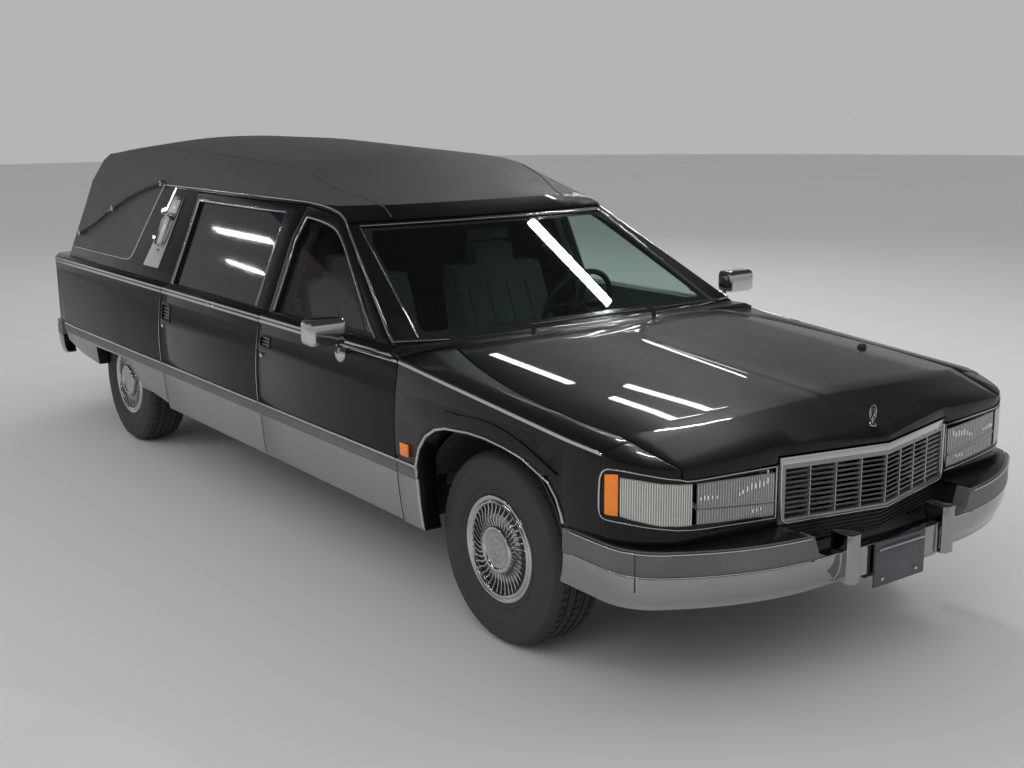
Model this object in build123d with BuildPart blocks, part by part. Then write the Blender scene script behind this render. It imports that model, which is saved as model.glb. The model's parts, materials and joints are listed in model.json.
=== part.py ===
from build123d import *
import os
from math import cos, radians, sin, sqrt

# A hearse in millimetres. X forward, Y to its left, Z up, origin on the floor under its middle.

# Main sizes
overall_length = 6150
wheelbase = 3740
front_axle_x = 1975
rear_axle_x = front_axle_x - wheelbase
tyre_radius = 363
tyre_width = 235
tread_half = 783
rim_radius = 190
steer_angle = 32
door_swing = 65
far = 3400

# Running gaps
panel_gap = 6
pin_gap = 0.5
seat_gap = 0.3

# Lower body, from the sill up to the belt line
sill_z = 345
sill_half = 955
trim_z = 548
band_z = 600
trim_half = 981
waist_z = 730
waist_half = 990
belt_z = 1008
belt_half = 958
shoulder_half = 918
shoulder_z = 1024
wall_in_half = 915
door_in_half = 872
body_rear_x = -2865
quarter_end_x = -2790

# Greenhouse and roof
side_lean = 0.406
drip_z = 1503
cap_edge_z = 1692
cap_edge_half = 648
roof_z = 1752
pillar_wall = 42
glass_foot_x = 1404
glass_lean = 0.56
glass_bow = 62
header_z = 1442
lean_stretch = sqrt(1 + side_lean**2)

# Facets of the roof: where each leaves the level line, its fall forward, and its fall to the shoulder
roof_ramps = (
    (-1300, 0.035, 60),
    (-327, 0.15, 60),
    (-89, 0.32, 60),
    (342, 0.90, 26),
    (-1900, -0.08, 60),
    (-2360, -0.5, 60),
    (-2490, -1.5, 60),
)

# Cheek plane that narrows the greenhouse towards the head of the windscreen, on the right side
cheek_foot = (1400, -916, 1024)
cheek_rear = (-300, -720, 1511)
cheek_head = (640, -704, 1444)
upper_rear_x = -2655
upper_corner_x = -2588

# Shut lines of the side doors, and the window openings
line_a = 1443
line_b = 220
line_c = -962
door_top_z = 1490
window_sill_z = 1026
door_slant = 24

# Front clip
cowl_x = 1500
clip_slope = 0.083
clip_crown = 34
apron_low_z = 524
nose_tip_x = 2985
nose_z = 850
grille_half = 426
grille_top_z = 830
grille_low_z = 606
lamp_in_half = 440
lamp_low_z = 640
lamp_top_z = 800
lamp_rear_x = 2668
amber_front_x = 2736


def side_half(z):
    """Half width of the greenhouse's outer face at a height."""
    return shoulder_half - side_lean * (z - shoulder_z)


def clip_edge_z(x):
    """Height of the fender's upper edge."""
    return belt_z - clip_slope * (x - line_a)


def lower_envelope(inset_side=0, inset_end=0, floor_z=sill_z, top_z=shoulder_z):
    """Body below the belt, as seen in section and in plan."""
    with BuildPart() as envelope:
        with BuildSketch(Plane.YZ.offset(-far)):
            with BuildLine():
                Line((0, floor_z), (sill_half - inset_side, floor_z))
                ThreePointArc(
                    (sill_half - inset_side, floor_z),
                    (sill_half + 17 - inset_side, (floor_z + trim_z) / 2),
                    (trim_half - inset_side, trim_z),
                )
                Polyline(
                    (trim_half - inset_side, trim_z),
                    (trim_half - 4 - inset_side, band_z),
                    (trim_half + 5 - inset_side, band_z),
                )
                ThreePointArc(
                    (trim_half + 5 - inset_side, band_z),
                    (waist_half - inset_side, waist_z),
                    (belt_half - inset_side, belt_z),
                )
                Polyline(
                    (belt_half - inset_side, belt_z),
                    (shoulder_half - inset_side, top_z),
                    (0, top_z),
                )
                mirror(about=Plane.YZ)
            make_face()
        extrude(amount=2 * far)
        with BuildSketch(Plane.XY):
            with BuildLine():
                Polyline((nose_tip_x - inset_end, 0), (2893 - inset_end, grille_half))
                ThreePointArc(
                    (2893 - inset_end, grille_half), (2884 - inset_end, 620), (2860 - inset_end, 790)
                )
                ThreePointArc(
                    (2860 - inset_end, 790),
                    (2800 - inset_end, 895 - inset_side),
                    (2650, 968 - inset_side),
                )
                Polyline(
                    (2650, 968 - inset_side),
                    (2280, waist_half + 2 - inset_side),
                    (-2280, waist_half + 2 - inset_side),
                    (-2660, 972 - inset_side),
                )
                ThreePointArc(
                    (-2660, 972 - inset_side),
                    (quarter_end_x + inset_end, 925 - inset_side),
                    (quarter_end_x - 45 + inset_end, 830 - inset_side),
                )
                Line((quarter_end_x - 45 + inset_end, 830 - inset_side), (body_rear_x + inset_end, 0))
                mirror(about=Plane.XZ)
            make_face()
        extrude(amount=far, mode=Mode.INTERSECT)
    return envelope.part


def clip_top(drop=0):
    """Everything under the crowned surface of hood and fenders, lowered by a drop."""
    tilt = Plane(
        origin=(line_a, 0, belt_z - drop), x_dir=(0, 1, 0), z_dir=(1, 0, -clip_slope)
    )
    nose = Plane(
        origin=(nose_tip_x, 0, nose_z - clip_crown - drop), x_dir=(0, 1, 0), z_dir=(1, 0, -0.29)
    )
    with BuildPart() as under:
        for base, side_drop in ((tilt, 0), (nose, 14)):
            with BuildSketch(base) as crown:
                with BuildLine():
                    Polyline((0, -far), (1020, -far), (1020, -22 - side_drop))
                    Line((1020, -22 - side_drop), (900, -side_drop))
                    ThreePointArc((900, -side_drop), (460, clip_crown - 10), (30, clip_crown))
                    Line((30, clip_crown), (0, clip_crown + 5))
                    mirror(about=Plane.YZ)
                make_face()
            extrude(amount=far, both=True, mode=Mode.INTERSECT if base is nose else Mode.ADD)
    return under.part


def ramp_keep(leave_x, slope, fall, inset, depth):
    """Everything under one crowned facet of the roof, and all that is below the header."""
    ramp = Plane(origin=(leave_x, 0, roof_z - inset), x_dir=(0, 1, 0), z_dir=(1, 0, -slope))
    edge_half = cap_edge_half - inset * lean_stretch
    edge_drop = inset * 0.2 - fall
    with BuildPart() as keep:
        with BuildSketch(ramp):
            with BuildLine():
                Polyline((0, -depth), (far, -depth), (far, edge_drop - 1), (edge_half, edge_drop))
                ThreePointArc((edge_half, edge_drop), (360, -0.28 * fall), (0, 0))
                mirror(about=Plane.YZ)
            make_face()
        extrude(amount=depth, both=True)
        with Locations((0, 0, header_z - far)):
            Box(4 * far, 2 * far, 2 * far)
    return keep.part


def cheek_cut(inset):
    """All that lies outside the right cheek plane, moved in by a wall."""
    foot = Vector(*cheek_foot)
    outward = (Vector(*cheek_head) - foot).cross(Vector(*cheek_rear) - foot).normalized()
    if outward.Y > 0:
        outward = outward * -1
    with BuildPart() as outside:
        with BuildSketch(Plane(origin=foot - outward * inset, z_dir=outward)):
            Rectangle(2 * far, 2 * far)
        extrude(amount=far)
    return outside.part


def upper_envelope(inset=0):
    """Greenhouse and roof, shrunk by a wall."""
    slide = inset * lean_stretch
    with BuildPart() as envelope:
        with BuildSketch(Plane.YZ.offset(-far)):
            with BuildLine():
                Polyline(
                    (0, belt_z),
                    (side_half(belt_z) - slide, belt_z),
                    (side_half(drip_z) - slide, drip_z),
                    (cap_edge_half - slide, cap_edge_z - inset * 0.8),
                )
                ThreePointArc(
                    (cap_edge_half - slide, cap_edge_z - inset * 0.8),
                    (360, roof_z - 17 - inset),
                    (0, roof_z - inset),
                )
                mirror(about=Plane.YZ)
            make_face()
        extrude(amount=far + cowl_x)
        with BuildSketch(Plane.XY.offset(belt_z)):
            with BuildLine():
                Polyline((far, 0), (far, far), (upper_corner_x + inset, far), (upper_corner_x + inset, 800))
                ThreePointArc(
                    (upper_corner_x + inset, 800), (upper_rear_x + 18 + inset, 420), (upper_rear_x + inset, 0)
                )
                mirror(about=Plane.XZ)
            make_face()
        extrude(amount=far, mode=Mode.INTERSECT)
    shape = envelope.part
    for leave_x, slope, fall in roof_ramps:
        shape = shape & ramp_keep(leave_x, slope, fall, inset, 2 * far)
    cheek = cheek_cut(inset)
    shape = shape - cheek - cheek.mirror(Plane.XZ)
    return shape - screen_block(inset * 1.2)


def screen_block(setback=0):
    """All that lies ahead of the bowed windscreen, up to the header."""
    foot_x = glass_foot_x - setback
    with BuildPart() as block:
        with BuildSketch(Plane.XY.offset(belt_z - 60)) as screen_plan:
            with BuildLine():
                Polyline((far, 0), (far, far), (foot_x + 88, far), (foot_x + 88, 860))
                ThreePointArc(
                    (foot_x + 88, 860), (foot_x + 88 + glass_bow * 0.75, 430), (foot_x + 88 + glass_bow, 0)
                )
                mirror(about=Plane.XZ)
            make_face()
        extrude(screen_plan.sketch, amount=2 * far, dir=(-1, 0, glass_lean))
        with Locations((0, 0, header_z - far)):
            Box(4 * far, 4 * far, 2 * far, mode=Mode.INTERSECT)
    return block.part


def side_region(*outline):
    """A window, door or panel outline in side view, carried across the car."""
    with BuildPart() as region:
        with BuildSketch(Plane.XZ):
            with BuildLine():
                Polyline(*outline, close=True)
            make_face()
        extrude(amount=far, both=True)
    return region.part


def block(x0, x1, y0, y1, z0, z1):
    """A box between two corners."""
    with BuildPart() as body:
        with Locations(((x0 + x1) / 2, (y0 + y1) / 2, (z0 + z1) / 2)):
            Box(abs(x1 - x0), abs(y1 - y0), abs(z1 - z0))
    return body.part


def rod(start, end, radius):
    """A round bar between two points."""
    axis = Vector(*end) - Vector(*start)
    with BuildPart() as bar:
        with BuildSketch(Plane(origin=start, z_dir=axis)):
            Circle(radius)
        extrude(amount=axis.length)
    return bar.part


def front_arch():
    """Opening of the front wheel arch."""
    with BuildPart() as arch:
        with BuildSketch(Plane.XZ):
            with BuildLine():
                Polyline((2560, 100), (1590, 100), (1600, 540))
                ThreePointArc((1600, 540), (1668, 712), (1872, 797))
                ThreePointArc((1872, 797), (2060, 806), (2273, 784))
                ThreePointArc((2273, 784), (2420, 712), (2473, 604))
                Line((2473, 604), (2560, 100))
            make_face()
        extrude(amount=far, both=True)
    return arch.part


right_half = block(-far, far, -far, 0, -far, far)
left_half = block(-far, far, 0, far, -far, far)
lower_skin = lower_envelope()
front_skin = (lower_skin & block(line_a, far, -far, far, 0, far)) & clip_top()
upper_skin = upper_envelope()
upper_room = upper_envelope(pillar_wall)
pieces = []


def keep(piece, label):
    """Name a finished piece and hold it for writing."""
    solids = piece.solids() if hasattr(piece, "solids") else [piece]
    whole = Compound(children=solids) if len(solids) > 1 else solids[0]
    whole.label = label
    pieces.append(whole)
    return whole


def both_sides(piece, stem):
    """Keep a right-hand piece and its mirror image as two nodes."""
    keep(piece, f"{stem}_right")
    keep(piece.mirror(Plane.XZ), f"{stem}_left")


# Hood outline in plan, and the hood itself
hood_rear_half = 722
hood_front_half = 806
with BuildPart() as hood_plan:
    with BuildSketch(Plane.XY):
        with BuildLine():
            Polyline((far, 0), (far, hood_front_half), (2872, hood_front_half))
            ThreePointArc((2872, hood_front_half), (2300, 868), (cowl_x, hood_rear_half))
            Line((cowl_x, hood_rear_half), (cowl_x, 0))
            mirror(about=Plane.XZ)
        make_face()
    extrude(amount=far)
with BuildPart() as hood_clear:
    with BuildSketch(Plane.XY):
        with BuildLine():
            Polyline((far, 0), (far, hood_front_half + panel_gap), (2872, hood_front_half + panel_gap))
            ThreePointArc(
                (2872, hood_front_half + panel_gap),
                (2300, 868 + panel_gap),
                (cowl_x - panel_gap, hood_rear_half + panel_gap),
            )
            Line((cowl_x - panel_gap, hood_rear_half + panel_gap), (cowl_x - panel_gap, 0))
            mirror(about=Plane.XZ)
        make_face()
    extrude(amount=far)

hood_skin = 26
hood_lip = 34
hood_edge_z = 814
hood = (front_skin & hood_plan.part) & block(0, far, -far, far, hood_edge_z, far)
hood -= (
    lower_envelope(inset_side=20, inset_end=hood_lip) & block(line_a, far, -far, far, 0, far)
) & clip_top(hood_skin)
hood = hood - block(2700, far, -grille_half - 6, grille_half + 6, 0, grille_top_z + panel_gap)
keep(hood, "hood")

# Fenders
fender_front_x = 2655
inner_front = (
    lower_envelope(inset_side=waist_half - wall_in_half, inset_end=60)
    & block(line_a - 100, far, -far, far, 0, far)
) & clip_top(46)
fender = (front_skin & block(line_a + panel_gap / 2, fender_front_x, -far, 0, 0, far)) - inner_front
fender = fender - hood_clear.part - front_arch()
fender = fender - block(2470, far, -far, 0, 0, band_z + 6)
fender = fender - block(0, cowl_x, -hood_rear_half - panel_gap, 0, 0, far)
fender -= side_region(
    (line_a - 200, 1300), (line_a - 200, belt_z - 30), (line_a + 20, belt_z - 4), (cowl_x - 30, 1300)
)
flare_rise = 9
with BuildPart() as flare_zone:
    with BuildSketch(Plane.XZ):
        with BuildLine():
            Polyline((1660, 560), (1592, 560), (1594, 640))
            ThreePointArc((1594, 640), (1668, 792), (1880, 862))
            ThreePointArc((1880, 862), (2120, 868), (2452, 772))
            Polyline((2452, 772), (2350, 748), (2200, 700), (1660, 560))
        make_face()
    extrude(amount=far, both=True)
flare = (lower_envelope(inset_side=-flare_rise) & flare_zone.part) & block(0, far, -far, -930, 0, 900)
fender = fender + (flare - front_arch() - lower_envelope(inset_side=20))
both_sides(fender, "front_fender")

# Nose panel around grille and lamps
nose = (front_skin & block(fender_front_x + seat_gap, far, -far, far, band_z + 6, hood_edge_z - 5)) - (
    lower_envelope(inset_side=70, inset_end=70)
)
nose += (
    (front_skin & block(fender_front_x + seat_gap, far, -far, far, band_z + 6, far))
    - inner_front
    - hood_clear.part
)
grille_hole = block(2700, far, -grille_half - 3, grille_half + 3, grille_low_z - 3, far)
lamp_hole = block(lamp_rear_x, far, -far, -lamp_in_half, lamp_low_z, lamp_top_z)
nose = nose - grille_hole - lamp_hole - lamp_hole.mirror(Plane.XZ)
keep(nose, "nose_panel")


def ahead_of(line_x):
    """Everything ahead of a shut line whose face runs forward as it goes in, on the right side."""
    foot_half = side_half(shoulder_z)
    foot_x = line_x + (waist_half - foot_half) * door_slant / 118
    with BuildPart() as keep_ahead:
        with BuildSketch(Plane.XY.offset(-10)):
            with BuildLine():
                Polyline(
                    (far, -far),
                    (line_x - (far - waist_half) * door_slant / 118, -far),
                    (line_x + waist_half * door_slant / 118, 0),
                    (far, 0),
                    close=True,
                )
            make_face()
        extrude(amount=shoulder_z + 2)
        with BuildSketch(Plane.XY.offset(shoulder_z - 8)) as upper_plan:
            with BuildLine():
                Polyline(
                    (far, -far),
                    (foot_x - (far - foot_half) * 0.3, -far),
                    (foot_x + (foot_half + 500) * 0.3, 500),
                    (far, 500),
                    close=True,
                )
            make_face()
        extrude(upper_plan.sketch, amount=2 * far, dir=(0, side_lean, 1))
    return keep_ahead.part


def lower_wall(depth):
    """Side walls of the lower body, open at the top."""
    return lower_skin - lower_envelope(inset_side=depth, inset_end=depth, floor_z=0, top_z=shoulder_z + 60)


door_bottom_z = 352
door_depth = waist_half - door_in_half
door_wall = lower_wall(door_depth) & right_half
upper_shell = upper_skin - upper_room
right_shell = upper_shell & right_half
half_gap = panel_gap / 2

# Door outlines in side view: foot of the pillar, its head, then back along the drip line
front_door_edge = (
    (line_a - half_gap, door_bottom_z),
    (line_a - half_gap, 984),
    (1296, 1030),
    (567, 1444),
    (520, 1460),
    (430, 1474),
    (240, door_top_z),
)


def door_outline(grow):
    """Outline of both side doors together, grown by a gap."""
    lead = [(x + grow, z + grow * 0.9) for x, z in front_door_edge[1:]]
    return (
        (front_door_edge[0][0] + grow, door_bottom_z - grow),
        *lead,
        (line_c - 900, door_top_z + grow),
        (line_c - 900, door_bottom_z - grow),
    )


door_blank = (door_wall + right_shell) & side_region(*door_outline(0)) & block(-far, far, -far, -600, 0, far)
door_blank -= block(1200, far, -800, 0, 0, 1060)
front_window = side_region(
    (1190, window_sill_z),
    (745, 1303),
    (622, 1374),
    (545, 1406),
    (420, 1426),
    (290, 1438),
    (290, window_sill_z),
)
rear_window = side_region((92, 1447), (92, window_sill_z), (-902, window_sill_z), (-888, 1447))
front_door = (door_blank & ahead_of(line_b + half_gap)) - front_window
rear_door = ((door_blank - ahead_of(line_b - half_gap)) & ahead_of(line_c + half_gap)) - rear_window

# Pull handles: a raised frame with a pocket, behind each door's shut line
handle_table = (("front", 261, 364, 873, 926), ("rear", -919, -807, 839, 932))
handle_rise = 5
handle_pocket = 7


def handle_zone(rise, x0, x1, z0, z1):
    """Part of the side's skin, grown by a rise, inside a rectangle."""
    return lower_envelope(inset_side=-rise) & block(x0, x1, -far, -900, z0, z1)


for which, x0, x1, z0, z1 in handle_table:
    frame_pad = handle_zone(handle_rise, x0, x1, z0, z1)
    pocket = frame_pad - lower_envelope(inset_side=handle_pocket)
    pocket = pocket & block(x0 + 8, x1 - 8, -far, 0, z0 + 8, z1 - 8)
    if which == "front":
        front_door = (front_door + frame_pad) - pocket
    else:
        rear_door = (rear_door + frame_pad) - pocket
both_sides(front_door, "door_front")
both_sides(rear_door, "door_rear")
side_glass = (upper_envelope(14) - upper_envelope(19)) & right_half
both_sides(side_glass & front_window & ahead_of(line_b), "glass_front")
both_sides(side_glass & rear_window, "glass_rear")

# Loading door outline in plan, narrower towards the cabin
rear_door_half = 600
rear_door_low = 612
rear_door_top = 1588
rear_slant = 0.28


def rear_wedge(grow, low, top):
    """Block that the loading door is cut from."""
    half = rear_door_half + grow
    with BuildPart() as wedge:
        with BuildSketch(Plane.XY.offset(low)):
            with BuildLine():
                Polyline(
                    (body_rear_x - 60, half + 60 * rear_slant),
                    (body_rear_x + 400, half - 400 * rear_slant),
                    (body_rear_x + 400, -half + 400 * rear_slant),
                    (body_rear_x - 60, -half - 60 * rear_slant),
                    close=True,
                )
            make_face()
        extrude(amount=top - low)
    return wedge.part


rear_zone = block(-far, -2450, -far, far, 0, far)
rear_lower = (lower_skin & rear_zone) - (
    lower_envelope(inset_side=75, inset_end=70, floor_z=0, top_z=shoulder_z - 34)
)
rear_lower -= upper_room & rear_zone
rear_lower -= block(-2600, -2400, -870, 870, 0, far)
load_door = (rear_lower + (upper_shell & rear_zone)) & rear_wedge(0, rear_door_low, rear_door_top)
load_window = block(-far, -2500, -430, 430, 1075, 1500)
rear_hinge_x = -2850
rear_hinge_y = 603
load_door -= load_window
for knuckle_z in (720, 940):
    load_door -= rod(
        (rear_hinge_x, rear_hinge_y, knuckle_z - 31), (rear_hinge_x, rear_hinge_y, knuckle_z + 31), 13
    )
keep(load_door, "loading_door")
load_glass = ((upper_envelope(14) - upper_envelope(19)) & rear_zone) & load_window
keep(load_glass, "loading_glass")

# Quarter panels, with the half-covered rear arch
rear_arch = side_region((-2012, 100), (-2020, 533), (-1470, 540), (-1318, 402), (-1318, 100))
tail_cut = side_region(
    (-2012, 100), (-2012, 424), (-2301, 448), (-2541, 503), (-2636, 606), (-far, 606), (-far, 100)
)
sill_cut = side_region((-1400, 100), (-1400, 404), (-1164, 402), (-796, 362), (-640, sill_z), (-640, 100))
bay_void = block(-2570, line_c + 200, -876, 876, 0, far)
quarter = (lower_skin & block(-far, line_c + 60, -far, 0, 0, far)) - lower_envelope(
    inset_side=waist_half - wall_in_half, inset_end=70, floor_z=0, top_z=shoulder_z - 34
)
quarter = quarter - bay_void - (upper_room & rear_zone) - ahead_of(line_c - half_gap)
quarter = quarter - rear_arch - tail_cut - sill_cut - rear_wedge(panel_gap, rear_door_low - panel_gap, far)
tail_lamp_hole = block(-far, -2700, -900.3, -704.7, 664.7, 980.3)
quarter -= tail_lamp_hole
keep(quarter, "quarter_panel_right")
quarter_left = quarter.mirror(Plane.XZ)
for knuckle_z in (720, 940):
    quarter_left += rod(
        (rear_hinge_x, rear_hinge_y, knuckle_z - 30), (rear_hinge_x, rear_hinge_y, knuckle_z + 30), 12.5
    )
keep(quarter_left, "quarter_panel_left")
tail_lamp = (lower_skin & block(-far, -2740, -900, -705, 665, 980)) - lower_envelope(
    inset_side=40, inset_end=52, floor_z=0, top_z=shoulder_z + 40
)
keep(tail_lamp + tail_lamp.mirror(Plane.XZ), "tail_lamps")

# Roof shell with pillars and landau quarters
screen_half_low = 800
screen_half_top = 672
screen_low_z = 1030
screen_top_z = 1420
with BuildPart() as screen_hole:
    with BuildSketch(Plane.YZ):
        with BuildLine():
            Polyline(
                (-screen_half_low, screen_low_z),
                (screen_half_low, screen_low_z),
                (screen_half_top, screen_top_z),
                (-screen_half_top, screen_top_z),
                close=True,
            )
        make_face()
    extrude(amount=far)
door_hole = (side_region(*door_outline(panel_gap)) & right_half) & ahead_of(line_c - half_gap)
roof = upper_shell - door_hole - door_hole.mirror(Plane.XZ) - screen_hole.part
roof = roof - rear_wedge(panel_gap, 0, rear_door_top + panel_gap)
roof -= block(-far, far, -far, far, 0, shoulder_z + 0.2)
keep(roof, "roof")
screen_sheet = (upper_envelope(6) - upper_envelope(11)) & screen_hole.part
windscreen = screen_sheet & block(400, far, -far, far, 0, far)
keep(windscreen, "windscreen")


# Grille: a wide surround with a V front, upright bars and level bars
grille_depth = 60
grille_frame = 22
grille_crown = 40
grille_v = 92


def grille_plate(half, low, top, front_x, depth):
    """A V-shaped plate in plan, cut to a front outline."""
    with BuildPart() as plate:
        with BuildSketch(Plane.XY.offset(low)):
            with BuildLine():
                Polyline(
                    (front_x, 0),
                    (front_x - grille_v * half / grille_half, half),
                    (front_x - grille_v * half / grille_half - depth, half),
                    (front_x - depth, 0),
                )
                mirror(about=Plane.XZ)
            make_face()
        extrude(amount=top - low)
    return plate.part


grille_tip_x = nose_tip_x + 4
grille = grille_plate(grille_half, grille_low_z, grille_top_z, grille_tip_x, grille_depth)
grille -= grille_plate(
    grille_half - grille_frame,
    grille_low_z + 16,
    grille_top_z - grille_crown,
    grille_tip_x + 5,
    grille_depth + 20,
)
level_bars = 9
upright_bars = 7
bar_pitch = (grille_top_z - grille_crown - grille_low_z - 16) / (level_bars + 1)
for bar in range(level_bars):
    bar_z = grille_low_z + 16 + bar_pitch * (bar + 1)
    grille += grille_plate(grille_half - 10, bar_z - 3.5, bar_z + 3.5, grille_tip_x - 8, 34)
for bar in range(upright_bars):
    bar_y = (bar - (upright_bars - 1) / 2) * (2 * (grille_half - grille_frame)) / (upright_bars + 1)
    bar_x = grille_tip_x - 14 - grille_v * abs(bar_y) / grille_half
    grille += block(bar_x - 34, bar_x + 4, bar_y - 4, bar_y + 4, grille_low_z + 5, grille_top_z - 12)
apron_bars = 6
apron = grille_plate(grille_half - 14, apron_low_z, grille_low_z, grille_tip_x - 30, 12)
for bar in range(apron_bars):
    bar_z = apron_low_z + 8 + bar * 13
    apron += grille_plate(grille_half - 14, bar_z, bar_z + 5, grille_tip_x - 20, 14)
grille += apron
keep(grille, "grille")

# Headlamps: a bowl behind a fluted cover that wraps round the corner, with an amber end
lamp_shape = (front_skin & lamp_hole) & block(
    lamp_rear_x, far, -far, -lamp_in_half - 2, lamp_low_z + 2, lamp_top_z - 2
)
lamp_core = lower_envelope(inset_side=14, inset_end=14, floor_z=0, top_z=shoulder_z + 40)
lamp_back = lower_envelope(inset_side=62, inset_end=66, floor_z=0, top_z=shoulder_z + 40)
lamp_cover = lamp_shape - lamp_core
amber_end = lamp_cover & block(lamp_rear_x, amber_front_x, -far, 0, 0, far)
lamp_cover = lamp_cover - block(lamp_rear_x, amber_front_x, -far, 0, 0, far)
marker = (lower_envelope(inset_side=-7) - lower_skin) & block(1490, 1548, -far, -900, 632, 682)
amber_end = amber_end + marker
lamp_bowl = (lamp_shape & lamp_core) - lamp_back
keep(lamp_cover + lamp_cover.mirror(Plane.XZ), "lamp_covers")
keep(amber_end + amber_end.mirror(Plane.XZ), "lamp_ambers")
keep(lamp_bowl + lamp_bowl.mirror(Plane.XZ), "lamp_bowls")

# Bumpers, alike at both ends
bumper_low = 405
bumper_band_z = 520
bumper_top = 600
bumper_thick = 62


def bumper_plan(tip_x, reach, end_x, grow=0):
    """Wrap-round bumper outline in plan, from its middle to the end beside the wheel arch."""
    with BuildPart() as wrap:
        with BuildSketch(Plane.XY):
            with BuildLine():
                Polyline((tip_x + grow, 0), (tip_x - 12 + grow, 300))
                ThreePointArc(
                    (tip_x - 12 + grow, 300), (tip_x - 60 + grow, 640), (tip_x - reach + grow, 870 + grow / 2)
                )
                ThreePointArc(
                    (tip_x - reach + grow, 870 + grow / 2),
                    (tip_x - reach - 60 + grow, 944 + grow),
                    (tip_x - reach - 180 + grow, 985 + grow),
                )
                Polyline(
                    (tip_x - reach - 180 + grow, 985 + grow), (end_x, 985 + grow), (end_x, 0)
                )
                mirror(about=Plane.XZ)
            make_face()
        extrude(amount=far)
    return wrap.part


def bumper(tip_x, reach, end_x):
    """Bumper bar with a lower chrome part and an upper band."""
    shell = bumper_plan(tip_x, reach, end_x) - bumper_plan(tip_x, reach, end_x - 100, -bumper_thick)
    bar = shell & block(0, far, -far, far, bumper_low, bumper_band_z)
    band = shell & block(0, far, -far, far, bumper_band_z, bumper_top)
    return bar, band


guard_y = 248
guard_half = 31
bumper_tip_x = overall_length / 2 - 26


def guards(tip_x):
    """Upright pads either side of the plate."""
    pads = block(
        tip_x - 60, overall_length / 2, -guard_y - guard_half, -guard_y + guard_half, bumper_low + 8, 585
    )
    pads = pads.chamfer(14, None, pads.edges().filter_by(Axis.Z).sort_by(Axis.X)[-2:])
    return pads


front_bar, front_band = bumper(bumper_tip_x, 170, 2478)
guard = guards(bumper_tip_x)
front_bar = front_bar + guard + guard.mirror(Plane.XZ)
front_band = front_band - guard - guard.mirror(Plane.XZ)
with BuildPart() as dip:
    with BuildSketch(Plane.YZ.offset(2480)):
        with BuildLine():
            Polyline(
                (0, bumper_band_z),
                (-340, bumper_band_z),
                (-385, bumper_band_z + 18),
                (-415, bumper_top + 20),
                (0, bumper_top + 20),
            )
            mirror(about=Plane.YZ)
        make_face()
    extrude(amount=far)
front_band = front_band - dip.part
rear_bar, rear_band = bumper(bumper_tip_x, 170, 2644)
rear_bar = rear_bar + guard + guard.mirror(Plane.XZ)
rear_band = rear_band - guard - guard.mirror(Plane.XZ)
keep(front_bar + rear_bar.mirror(Plane.YZ), "bumpers")
keep(front_band + rear_band.mirror(Plane.YZ), "bumper_bands")

# Filler panels between bumpers and body
filler_low = block(2480, far, -far, far, bumper_top, band_z + 6)
fill_plan = bumper_plan(bumper_tip_x, 170, 2480, -14)
front_fill = (fill_plan & filler_low) - block(2400, 2836, -860, 860, 0, far)
front_fill = front_fill - dip.part - block(2400, far, -grille_half, grille_half, apron_low_z - 2, far)
rear_plan = bumper_plan(bumper_tip_x, 170, 2644, -14)
rear_fill = (rear_plan & filler_low) - block(2400, 2760, -860, 860, 0, far)
rear_fill = rear_fill.mirror(Plane.YZ)
keep(front_fill + rear_fill, "bumper_fillers")
plate_half = 130
plate_low = 368
plate_high = 520
plate_x = bumper_tip_x
plate = block(plate_x + 0.2, plate_x + 8, -plate_half, plate_half, plate_low, plate_high)
plate = plate - rod((plate_x - 50, -90, 500), (plate_x + 50, -90, 500), 4)
plate = plate - rod((plate_x - 50, 90, 500), (plate_x + 50, 90, 500), 4)
keep(plate, "front_plate")


# Wheels and tyres, drawn for the front right and set at each corner
rim_half = 96
cover_radius = 203
spindle_radius = 28
hub_bore = spindle_radius + pin_gap
wheel_z = tyre_radius
kingpin_half = 660
spoke_count = 24


def wheel_disc(x):
    """Rim, centre disc and wire-look cover as one turned piece."""
    with BuildPart() as disc:
        with BuildSketch(Plane(origin=(x, -tread_half, wheel_z), x_dir=(1, 0, 0), z_dir=(0, 0, 1))):
            with BuildLine():
                Polyline(
                    (hub_bore, 70),
                    (75, 70),
                    (85, 42),
                    (168, 30),
                    (168, rim_half - 12),
                    (rim_radius, rim_half),
                    (rim_radius, rim_half - 8),
                    (178, rim_half - 20),
                    (178, -rim_half + 20),
                    (rim_radius, -rim_half + 8),
                    (rim_radius, -rim_half - 4),
                    (cover_radius, -rim_half - 4),
                    (cover_radius - 14, -rim_half - 11),
                    (170, -rim_half - 6),
                    (162, -rim_half + 14),
                    (94, -rim_half + 3),
                    (90, -rim_half - 15),
                    (78, -rim_half - 20),
                    (70, -rim_half - 16),
                    (0, -rim_half - 20),
                    (0, -rim_half + 4),
                    (80, -rim_half + 10),
                    (158, -rim_half + 26),
                    (168, -rim_half + 18),
                    (168, 22),
                    (85, 34),
                    (66, 62),
                    (hub_bore, 62),
                    close=True,
                )
            make_face()
        revolve(axis=Axis((x, -tread_half, wheel_z), (0, 1, 0)))
        spoke_y = -tread_half - rim_half + 6
        with BuildSketch(Plane(origin=(x, spoke_y, wheel_z), x_dir=(1, 0, 0), z_dir=(0, -1, 0))):
            with PolarLocations(126, spoke_count):
                Rectangle(80, 5)
        extrude(amount=7)
    return disc.part


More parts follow.
